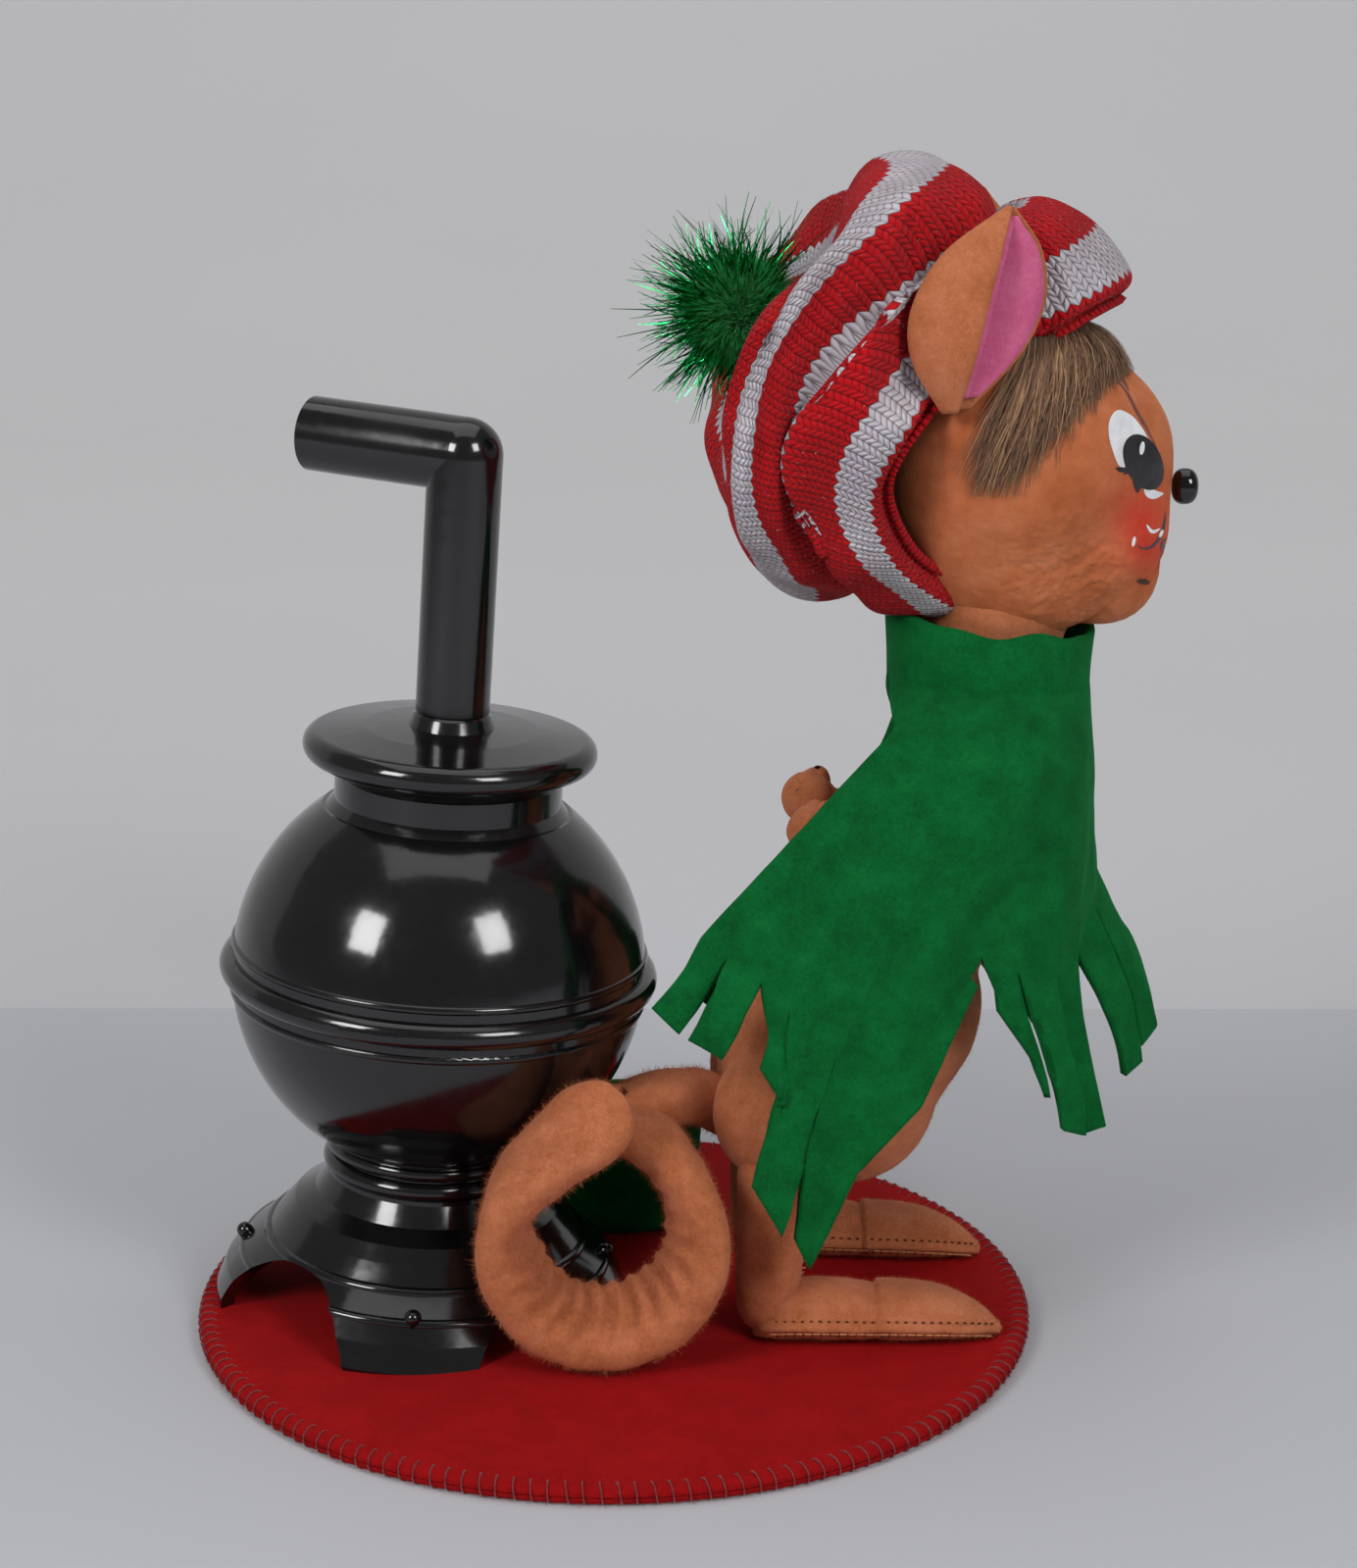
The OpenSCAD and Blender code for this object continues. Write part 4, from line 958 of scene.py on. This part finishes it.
hair_rng = np.random.default_rng(31)
turn_0 = hair_rng.uniform(-109, 109, 4600)
tips_low = np.interp(np.abs(turn_0), [0, 30, 45, 58, 68, 78, 88, 98, 104, 109], [37, 36, 33, 28, 22, 13, 3,
    -9, -11, -2])
low = tips_low + np.abs(hair_rng.normal(0, 9, len(turn_0))) * hair_rng.choice([1, 1, 1, 0], len(turn_0))
steps = np.linspace(0, 1, 7)[None, :]      # seven places along each strand
sweep_round = hair_rng.normal(0, 3, len(turn_0)) + 5 * np.sign(turn_0)
turns = turn_0[:, None] * (0.80 + 0.20 * steps) + sweep_round[:, None] * steps ** 1.5 + hair_rng.normal(0,
    4.5, (len(turn_0), 1)) * steps ** 2 + hair_rng.normal(0, 2.5, (len(turn_0), 1)) * np.sin(3 * steps)
rises = 68 + (low[:, None] - 68) * steps
lift = hair_rng.uniform(0.2, 2.0, (len(turn_0), 1)) * np.sin(np.pi * np.clip(steps * 0.85 + 0.12, 0,
    1)) + 0.4
hair_paths, hair_way = on_skull(turns, rises, lift)
hair_points, hair_faces, hair_uv = ribbons(hair_paths, 0.26, hair_way, hair_rng)
hair = build("hair_plush_tuft", hair_points, hair_faces, plush, "head", "fur", uv=hair_uv)
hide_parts("hair_tuft")
nape_turn = np.concatenate([hair_rng.uniform(150, 176, 260), -hair_rng.uniform(150, 176, 260)])
nape_rise = hair_rng.uniform(-42, 20, 520)
nape_steps = np.linspace(0, 1, 5)[None, :]
nape_paths, nape_way = on_skull(
    nape_turn[:, None] - np.sign(nape_turn)[:, None] * 9 * nape_steps,
    nape_rise[:, None] - hair_rng.uniform(8, 16, (520, 1)) * nape_steps, 0.3 + 0.9 * nape_steps)
nape_points, nape_faces, nape_uv = ribbons(nape_paths, 0.3, nape_way, hair_rng)
build("hair_at_nape", nape_points, nape_faces, plush, "head", "fur", uv=nape_uv)


# ---- Hat: a slouch cap knitted in red and white stripes in plain stocking stitch, rolled at the
# brim, gathered to a point behind and glued to the crown, slumping in two soft rolls.
def sum_of(tree, operation, first, second=None):
    """A Math node over sockets or plain numbers; returns its output."""
    node = add(tree, "Math", operation=operation)
    for i, value in enumerate((first, second)):
        if isinstance(value, (int, float)):
            node.inputs[i].default_value = value
        elif value is not None:
            tree.links.new(value, node.inputs[i])
    return node.outputs[0]


def stocking_stitch(name, rows_of):
    """Knitted acrylic yarn: V stitches about 2 mm wide and 1.5 mm high, one colour to a course,
    so that each stripe's edge is toothed; fuzzy, matt, with painted shade darkening the gaps between the
    stitches."""
    material, tree, shader = finish_named(name, 0.9, Sheen_Weight=0.06, Sheen_Roughness=0.5,
        Sheen_Tint=linear("#f0d8dc"))
    shader.inputs["Specular IOR Level"].default_value = 0.2
    place = add(tree, "SeparateXYZ", {"Vector": add(tree, "UVMap", uv_map="UVMap").outputs["UV"]})
    across = sum_of(tree, "ABSOLUTE", sum_of(tree, "SUBTRACT", sum_of(tree, "FRACT", place.outputs["X"]),
        0.5))
    course = sum_of(tree, "ADD", place.outputs["Y"], sum_of(tree, "MULTIPLY", across, 1.5))
    row = sum_of(tree, "FLOOR", course)
    stripes = add(tree, "ValToRGB", {"Fac": sum_of(tree, "DIVIDE", row, float(rows_of))})
    stripes.color_ramp.interpolation = "CONSTANT"
    places = [(0.0, "#dd0b18"), (0.04, "#f0ebf2"), (0.16, "#dd0b18"), (0.30, "#f0ebf2"), (0.38, "#dd0b18"),
              (0.52, "#f0ebf2"), (0.66, "#dd0b18"), (0.80, "#f0ebf2"), (0.90, "#dd0b18")]
    while len(stripes.color_ramp.elements) < len(places):
        stripes.color_ramp.elements.new(0.5)
    for element, (at, colour) in zip(stripes.color_ramp.elements, places):
        element.position = at
        element.color = linear(colour)
    leg = sum_of(tree, "SUBTRACT", 1.0, sum_of(tree, "MULTIPLY",
        sum_of(tree, "POWER", sum_of(tree, "ABSOLUTE", sum_of(tree, "SUBTRACT", across, 0.26)), 2.0),
        14.0))
    loop = sum_of(tree, "SINE", sum_of(tree, "MULTIPLY", sum_of(tree, "FRACT", course), math.pi))
    height = sum_of(tree, "MULTIPLY", leg, sum_of(tree, "POWER", loop, 0.6))
    fuzz = mottle(tree, Scale=2600.0, Detail=4.0, Roughness=0.8)
    blotch = mottle(tree, Scale=90.0, Detail=3.0)
    # painted shade: the gaps between the stitches are darkened, multiplied into the stripes' colour
    gap = ramp(tree, height, [(0.03, "#6c5e60"), (0.4, "#ffffff")])
    mottled = ramp(tree, blotch.outputs["Fac"], [(0.35, "#dcd6d8"), (0.65, "#ffffff")])
    shaded = add(tree, "Mix", {6: stripes.outputs["Color"], 7: gap}, data_type="RGBA",
        blend_type="MULTIPLY")
    shaded.inputs[0].default_value = 0.85
    final = add(tree, "Mix", {6: shaded.outputs[2], 7: mottled}, data_type="RGBA", blend_type="MULTIPLY")
    final.inputs[0].default_value = 0.8
    coat(tree, shader, final.outputs[2])
    relief = sum_of(tree, "ADD", height, sum_of(tree, "MULTIPLY", fuzz.outputs["Fac"], 0.5))
    emboss(tree, shader, relief, 1.0, 0.75)
    return material


# each ring: top x, z, bottom x, z, half width, how far its sides lie behind its middle
hat_rings = np.array([
    (84.5, 185, 63, 133.5, 20, 30), (85.8, 188, 61, 131.0, 24.5, 30.5), (81, 195, 56, 130.0, 27.5, 30.5),
    (75, 199.5, 50, 130.0, 29, 29.5), (69, 200.5, 46, 131.5, 29.2, 28.5), (64.8, 197.6, 45.0, 136.0, 24.8,
        25.5),
    (62, 203, 41, 133.5, 28.8, 26), (55, 208, 34, 133.5, 31, 22), (46, 207, 26, 136.5, 31, 16),
    (40, 202, 20.5, 145, 27.5, 10), (38.5, 196, 19.8, 153, 21, 6.5), (36.5, 192, 20, 163, 17, 4),
    (33, 187, 24, 172, 10, 2), (30, 183, 28, 179, 3, 0)])
hat_rows, hat_columns = 230, 400
ring_at = np.linspace(0, len(hat_rings) - 1, hat_rows)


def smooth_values(table, at):
    """Catmull-Rom values of a table's rows at fractional row numbers."""
    padded = np.concatenate([table[:1], table, table[-1:]])
    i = np.clip(at.astype(int), 0, len(table) - 2)
    t = (at - i)[:, None]
    p0, p1, p2, p3 = (padded[i + k] for k in range(4))
    return 0.5 * (2 * p1 + (p2 - p0) * t + (2 * p0 - 5 * p1 + 4 * p2 - p3) * t ** 2 + (3 * p1 - p0 - 3 * p2
        + p3) * t ** 3)


ring = smooth_values(hat_rings, ring_at)
theta = np.linspace(0, 2 * math.pi, hat_columns, endpoint=False)
c, s = np.cos(theta)[None, :], np.sin(theta)[None, :]
half = (ring[:, 0:2] - ring[:, 2:4]) / 2
middle_of = (ring[:, 0:2] + ring[:, 2:4]) / 2
hat_grid = np.stack([
    middle_of[:, :1] + half[:, :1] * c - ring[:, 5:6] * s ** 2,
    ring[:, 4:5] * s * (1 + 0.06 * s ** 2),
    middle_of[:, 1:2] + half[:, 1:2] * c], -1)
hat_v = np.concatenate([[0], np.cumsum(np.linalg.norm(np.diff(ring[:, :2], axis=0), axis=1))])
hat_v /= hat_v[-1]
outward = np.cross(np.gradient(hat_grid, axis=1), np.gradient(hat_grid, axis=0))
outward /= np.linalg.norm(outward, axis=2, keepdims=True) + 1e-9
if (outward[60, :, 2] * c[0]).sum() < 0:
    outward = -outward
fold = np.array([[noise.noise(Vector((p[0] / 13, p[1] / 9, p[2] / 22))) for p in line]
    for line in hat_grid[::4, ::4]])
fold = np.repeat(np.repeat(fold, 4, 0), 4, 1)[:hat_rows, :hat_columns]
for _ in range(6):
    fold = (fold + np.roll(fold, 1, 1) + np.roll(fold, -1, 1) + np.concatenate([fold[:1], fold[:-1]])
        + np.concatenate([fold[1:], fold[-1:]])) / 5
gathers = 0.7 * np.sin(14 * theta + 1.3)[None, :] * np.clip((hat_v[:, None] - 0.7) / 0.3, 0, 1) * (1
    - hat_v[:, None] ** 6)
slump = 0.8 * np.sin(5 * theta[None, :] + 11 * hat_v[:, None]) * np.sin(np.pi * hat_v[:, None]) ** 2
creases = 1.3 * np.sin(hat_v[:, None] * 38 + 2.6 * np.sin(theta)[None, :] ** 2 * 2) * np.clip(hat_v[:,
    None] * 3 - 0.9, 0, 1) * np.sin(np.pi * hat_v[:, None]) * s ** 2
hat_grid = hat_grid + outward * (2.4 * fold + gathers + slump + creases)[..., None]
# the knit is squeezed in behind and above each ear
tuck = np.interp(hat_grid[..., 0], [40, 47, 52, 58, 64, 70, 76, 84], [30, 19.5, 17.5, 15.5, 13.2, 12.2,
    14.5, 24])
tuck_share = np.clip((hat_grid[..., 2] - 166) / 6, 0, 1) * np.clip((208 - hat_grid[..., 2]) / 7, 0, 1)
over = np.clip(np.abs(hat_grid[..., 1]) - tuck, 0, None) * tuck_share
hat_grid[..., 1] -= np.sign(hat_grid[..., 1]) * over
from_head = hat_grid - crown
reach_off = np.linalg.norm(from_head, axis=2, keepdims=True)
hat_grid = np.where(reach_off < 25.6, crown + from_head / reach_off * 25.6, hat_grid)
roll_in = []
for k, (inward, back) in enumerate([(1.7, 1.5), (1.9, 0.6), (1.4, -0.1), (0.6, -0.5)]):
    away = hat_grid[0] - crown
    away /= np.linalg.norm(away, axis=1, keepdims=True)
    along = hat_grid[2] - hat_grid[0]
    along /= np.linalg.norm(along, axis=1, keepdims=True)
    roll_in.append(hat_grid[0] - away * inward * 0.9 + along * back)
hat_grid = np.concatenate([np.array(roll_in), hat_grid])
hat_v = np.concatenate([[0.0] * 4, hat_v])
hat_wales, hat_courses = 94, 54
knit = stocking_stitch("striped_stocking_stitch_knit", hat_courses)
wide = hat_columns + 1
hat_points = np.concatenate([hat_grid, hat_grid[:, :1]], 1).reshape(-1, 3)
hat_uv = np.stack(np.broadcast_arrays(np.linspace(0, hat_wales, wide)[None, :], hat_v[:, None]
    * hat_courses), -1).reshape(-1, 2)
hat_faces = quads(len(hat_grid), wide)
hat = build("hat_striped_knit", hat_points, hat_faces, knit, "head", "striped_knit", uv=hat_uv)
hat_solid = hat.modifiers.new("thickness", "SOLIDIFY")
hat_solid.thickness = 1.0 * MM
hat_solid.offset = -1.0
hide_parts("hat")
hat_fuzz, fuzz_tree, fuzz_shader = finish_named("pale_yarn_fuzz", 0.9)
fuzz_place = mottle(fuzz_tree, Scale=150.0)
coat(fuzz_tree, fuzz_shader, ramp(fuzz_tree, fuzz_place.outputs["Fac"],
    [(0.4, "#c8707a"), (0.6, "#e6d8de")]))
surface_nap("hat_yarn_fuzz", hat, 2600, 1.0, hat_fuzz, "head", "striped_knit", 77, width=0.035)


# ---- Pompom: a ball of green wool fluff on the tip of the hat, wound together with metallic
# green tinsel whose flat strips stick out past it on all sides.
pom_mid = np.array([21.0, -3.0, 181.5])
fluff_green = lock_colours("green_wool_fluff", [(0.0, "#00803a"), (0.6, "#009c46"), (1.0, "#22bb5c")], 0.8)
pom_rng = np.random.default_rng(5)
pom_turn, pom_rise = np.meshgrid(np.linspace(0, 2 * math.pi, 60, endpoint=False), np.linspace(-math.pi / 2,
    math.pi / 2, 40))
pom_way = np.stack([np.cos(pom_rise) * np.cos(pom_turn), np.cos(pom_rise) * np.sin(pom_turn),
    np.sin(pom_rise)], -1)
pom_bump = np.array([[noise.noise(Vector(w * 4)) for w in line] for line in pom_way])
core = build("pompom_fluff_core", (pom_mid + pom_way * (7.6 + 0.9 * pom_bump)[..., None]).reshape(-1, 3),
    quads(40, 60, wrap=True), green_felt, "head", "green_fluff")
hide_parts("pompom")


def scattered(count, rng):
    """Directions spread evenly over a ball."""
    way = rng.normal(size=(count, 3))
    return way / np.linalg.norm(way, axis=1, keepdims=True)


tuft_way = scattered(9000, pom_rng)
tuft_steps = np.linspace(0, 1, 4)[None, :, None]
tuft_tip = tuft_way[:, None] + pom_rng.normal(0, 0.16, (9000, 1, 3)) * tuft_steps
tuft_paths = pom_mid + tuft_way[:, None] * 7.2 + tuft_tip * tuft_steps * pom_rng.uniform(1.4, 3.6, (9000, 1,
    1))
facing = np.cross(tuft_way, scattered(9000, pom_rng))[:, None]
fluff_points, fluff_faces, fluff_uv = ribbons(tuft_paths, 0.2, np.broadcast_to(facing, tuft_paths.shape),
    pom_rng)
build("pompom_fluff", fluff_points, fluff_faces, fluff_green, "head", "green_fluff", uv=fluff_uv)

foil, foil_tree, foil_shader = finish_named("green_metallised_tinsel", 0.24, Metallic=1.0)
foil_place = add(foil_tree, "SeparateXYZ",
    {"Vector": add(foil_tree, "UVMap", uv_map="UVMap").outputs["UV"]})
foil_grain = mottle(foil_tree, Scale=700.0, Detail=3.0)
coat(foil_tree, foil_shader, ramp(foil_tree, foil_place.outputs["X"],
    [(0.0, "#0a5a28"), (0.5, "#149048"), (1.0, "#3ad07c")]))
emboss(foil_tree, foil_shader, foil_grain.outputs["Fac"], 0.4, 0.1)
strip_way = scattered(5200, pom_rng)
keep = (strip_way @ np.array([0.72, 0.0, -0.25]) < 0.36) & (pom_rng.random(5200) < np.clip(0.40 - 0.42
    * np.abs(strip_way[:, 1]) - 0.12 * strip_way[:, 0], 0.03, 1))
strip_way = strip_way[keep][:1100]
count = len(strip_way)
strip_steps = np.linspace(0, 1, 5)[None, :, None]
bends = pom_rng.normal(0, 0.22, (count, 1, 3))
strip_far = pom_rng.uniform(6.0, 11.0, (count, 1, 1))
strip_paths = pom_mid + strip_way[:, None] * 6.5 + (strip_way[:, None] + bends
    * strip_steps) * strip_steps * strip_far
facing = np.cross(strip_way, scattered(count, pom_rng))[:, None] + 0.5 * strip_steps * scattered(count,
    pom_rng)[:, None]
tinsel_points, tinsel_faces, tinsel_uv = ribbons(strip_paths, 0.42, facing, pom_rng)
tinsel = build("pompom_tinsel_strips", tinsel_points, tinsel_faces, foil, "head", "green_tinsel",
    uv=tinsel_uv, smooth=False)
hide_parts("pompom_tinsel")


# ---- Poncho: one piece of green craft felt with a neck hole, worn high as a collar, open down
# the back, its corners cut into strips that hang and curl where they were snipped.
# each strip: its root from the back edge round to the front, then its tip's outline (x, y, z)
strips = [
    ([(14.6, -25.5, 79.5), (18.8, -28.5, 76.5)], [(5.8, -26.5, 67.6), (11.4, -28.5, 62.7)]),
    ([(18.8, -28.5, 76.5), (25.0, -30.5, 73.5)], [(12.4, -29.5, 63.4), (19.2, -31.5, 60.0)]),
    ([(25.0, -30.5, 73.5), (29.8, -32.0, 69.5)], [(24.2, -33.5, 59.5), (28.9, -35.0, 52.0)]),
    ([(29.8, -32.0, 69.5), (37.2, -33.5, 61.0)], [(23.0, -36.5, 39.4), (28.9, -37.5, 29.4)]),
    ([(37.2, -33.5, 61.0), (62.0, -28.0, 77.0)], [(30.4, -35.0, 28.2), (33.2, -35.0, 22.4),
        (41.0, -35.5, 40.8), (52.0, -32.0, 51.6), (61.6, -27.5, 72.0)]),
    ([(62.0, -28.0, 77.0), (68.0, -25.5, 74.0)], [(64.4, -26.5, 68.0), (72.2, -27.0, 57.0),
        (75.0, -27.0, 49.8)]),
    ([(68.0, -25.5, 74.0), (74.5, -21.0, 72.0)], [(76.6, -25.5, 44.9), (81.0, -24.0, 43.4)]),
    ([(74.5, -21.0, 72.0), (79.4, -15.5, 74.0)], [(81.4, -21.0, 42.4), (85.6, -19.0, 43.0)]),
    ([(79.4, -15.5, 74.0), (82.8, -8.0, 80.0)], [(88.6, -13.0, 50.0), (92.4, -11.0, 52.4)]),
    ([(82.8, -8.0, 80.0), (84.2, 0.0, 84.0)], [(92.2, -8.0, 53.0), (96.0, -4.5, 56.0), (93.8, -1.0, 63.0)])]
columns_of = [14, 16, 12, 18, 56, 16, 16, 12, 16, 18]


def along_line(points, count):
    """count points evenly spaced by length along a polyline."""
    points = np.asarray(points, float)
    far = np.concatenate([[0], np.cumsum(np.linalg.norm(np.diff(points, axis=0), axis=1))])
    at = np.linspace(0, far[-1], count)
    return np.stack([np.interp(at, far, points[:, k]) for k in range(3)], 1)


root_near, tip_near, owner = [], [], []
for k, ((root_a, root_b), tip) in enumerate(strips):
    root_near.append(along_line([root_a, root_b], columns_of[k] + 1))
    tip_near.append(along_line(tip, columns_of[k] + 1))
    owner += [k] * (columns_of[k] + 1)
owner = np.array(owner)
sides_of = []
for side in (-1, 1):
    root_line = np.concatenate(root_near) * [1, -side, 1]
    tip_line = np.concatenate(tip_near) * [1, -side, 1]
    if side == 1:
        shift = np.interp(owner, range(10), [1.5, -1.0, 2.0, -1.5, 1.0, -2.0, 1.5, -1.0, 1.5, -1.0])
        tip_line = tip_line + np.stack([shift, 0.6 * shift, 0.9 * shift], 1)
        sink = np.clip((62.0 - root_line[:, :1]) / 44.0, 0, 1) * np.clip((3.8 - owner[:, None]) / 3.0, 0, 1)
        root_line = root_line + sink * [7.5, 0, -14.0]
        tip_line = tip_line + sink * [6.0, 0, -17.0]
        root_line, tip_line = root_line[::-1], tip_line[::-1]
    sides_of.append((root_line, tip_line))
root_line = np.concatenate([sides_of[0][0], sides_of[1][0]])
tip_line = np.concatenate([sides_of[0][1], sides_of[1][1]])
strip_of = np.concatenate([owner, 19 - owner[::-1]])
width_at = np.concatenate([[0], np.cumsum(np.linalg.norm(np.diff(root_line, axis=0), axis=1))])
share = width_at / width_at[-1] * 2 - 1
collar_mid, collar_r, collar_top, collar_low = np.array([64.6, 0.0]), 16.9, 127.6, 118.5
panel_rows, fringe_rows = 64, 26
poncho_rows = []
for t in np.linspace(0, 1, panel_rows):
    opened = np.radians(179 - 46 * min(1.0, max(0.0, t - 0.10) / 0.16)) * share
    ring_x = collar_mid[0] + collar_r * np.cos(opened)
    ring_y = collar_r * np.sin(opened)
    wave = 0.5 * np.sin(5 * opened + 0.8) + 0.35 * np.sin(9 * opened)
    if t <= 0.13:
        k = t / 0.13
        flare = 0.5 * (1 - k) ** 2
        snug = 1 - 0.10 * (1 - k) ** 2
        top = collar_top + 1.75 * (1 - np.cos(opened))
        row = np.stack([ring_x + flare * np.cos(opened), ring_y * snug, top + (collar_low - top) * k + wave
            * (1 - k)], 1)
    else:
        k = (t - 0.13) / 0.87
        start = np.stack([ring_x, ring_y, np.full(len(opened), collar_low)], 1)
        bulge = 7.5 * np.sin(np.pi * k ** 0.6) * np.abs(np.sin(opened)) ** 1.2
        row = start + (root_line - start) * k + np.stack([0 * bulge, np.sign(root_line[:, 1]) * bulge, 0.25
            * bulge], 1)
        back = np.clip((share - 0.62) / 0.38, 0, 1)
        row = row - np.stack([0 * bulge, bulge * 0.75, 0.25 * bulge], 1) * back[:,
            None] + np.stack([4.0 * back, 0 * back, -5.0 * back], 1) * math.sin(math.pi * k)
        drape = 1.1 * np.sin(7.5 * share * np.pi + 2.2 * k) * k * (1 - 0.3
            * k) * np.clip(np.abs(np.sin(opened)) * 1.4, 0.4, 1)
        lie = np.stack([np.cos(opened), np.sin(opened), 0 * opened], 1)
        row = row + lie * drape[:, None]
    poncho_rows.append(row)
last = poncho_rows[-1]
curl_rng = np.random.default_rng(12)
curl_out = curl_rng.uniform(-2.2, 3.2, 20)[strip_of]
curl_side = curl_rng.uniform(-1.2, 1.2, 20)[strip_of]
outward = np.stack([(last[:, 0] - 45) / 45, last[:, 1] / 30, 0 * share], 1)
outward /= np.linalg.norm(outward, axis=1, keepdims=True)
carried = last - poncho_rows[-4]
carried *= 6.0 / np.linalg.norm(carried, axis=1, keepdims=True)
for k in np.linspace(0, 1, fringe_rows + 1)[1:]:
    straight = last + (tip_line - last) * k
    ease = carried * k * (1 - k) ** 2
    for n in range(20):
        mine = strip_of == n
        narrow = 0.02 if n in (4, 15) else 0.15
        straight[mine] += (straight[mine].mean(0) - straight[mine]) * narrow * min(1, 3 * k)
    poncho_rows.append(straight + ease + outward * (curl_out * np.sin(np.pi * k * 0.95))[:, None]
        + np.stack([curl_side * np.sin(np.pi * k), 0 * share, 0 * share], 1))
poncho_grid = np.array(poncho_rows)
soft = np.array([[noise.noise(Vector(p) / 14) + 0.35 * noise.noise(Vector(p) / 5) for p in line]
    for line in poncho_grid])
poncho_lie = np.cross(np.gradient(poncho_grid, axis=1), np.gradient(poncho_grid, axis=0))
poncho_lie /= np.linalg.norm(poncho_lie, axis=2, keepdims=True) + 1e-9
fade = np.concatenate([np.linspace(0.2, 1, 20), np.ones(len(poncho_grid) - 20)])
poncho_grid = poncho_grid + poncho_lie * (0.55 * soft * fade[:, None])[..., None]
cells = np.ones((len(poncho_grid) - 1, len(share) - 1), bool)
cut = np.nonzero(strip_of[1:] != strip_of[:-1])[0]
cells[:, cut] = False
weld = np.arange(poncho_grid[..., 0].size).reshape(poncho_grid.shape[:2])
weld[:panel_rows, cut + 1] = weld[:panel_rows, cut]
poncho_felt = wool_felt("poncho_green_felt", "#00451c", "#015a26", "#066a30", "#1f8a48")
poncho = felt_sheet("poncho_felt_sheet", poncho_grid, 1.5, poncho_felt, "torso", "green_felt", keep=cells,
    weld=weld.ravel())
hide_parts("poncho")
surface_nap("poncho_nap", poncho, 6000, 0.9, poncho_felt, "torso", "green_felt", 91)
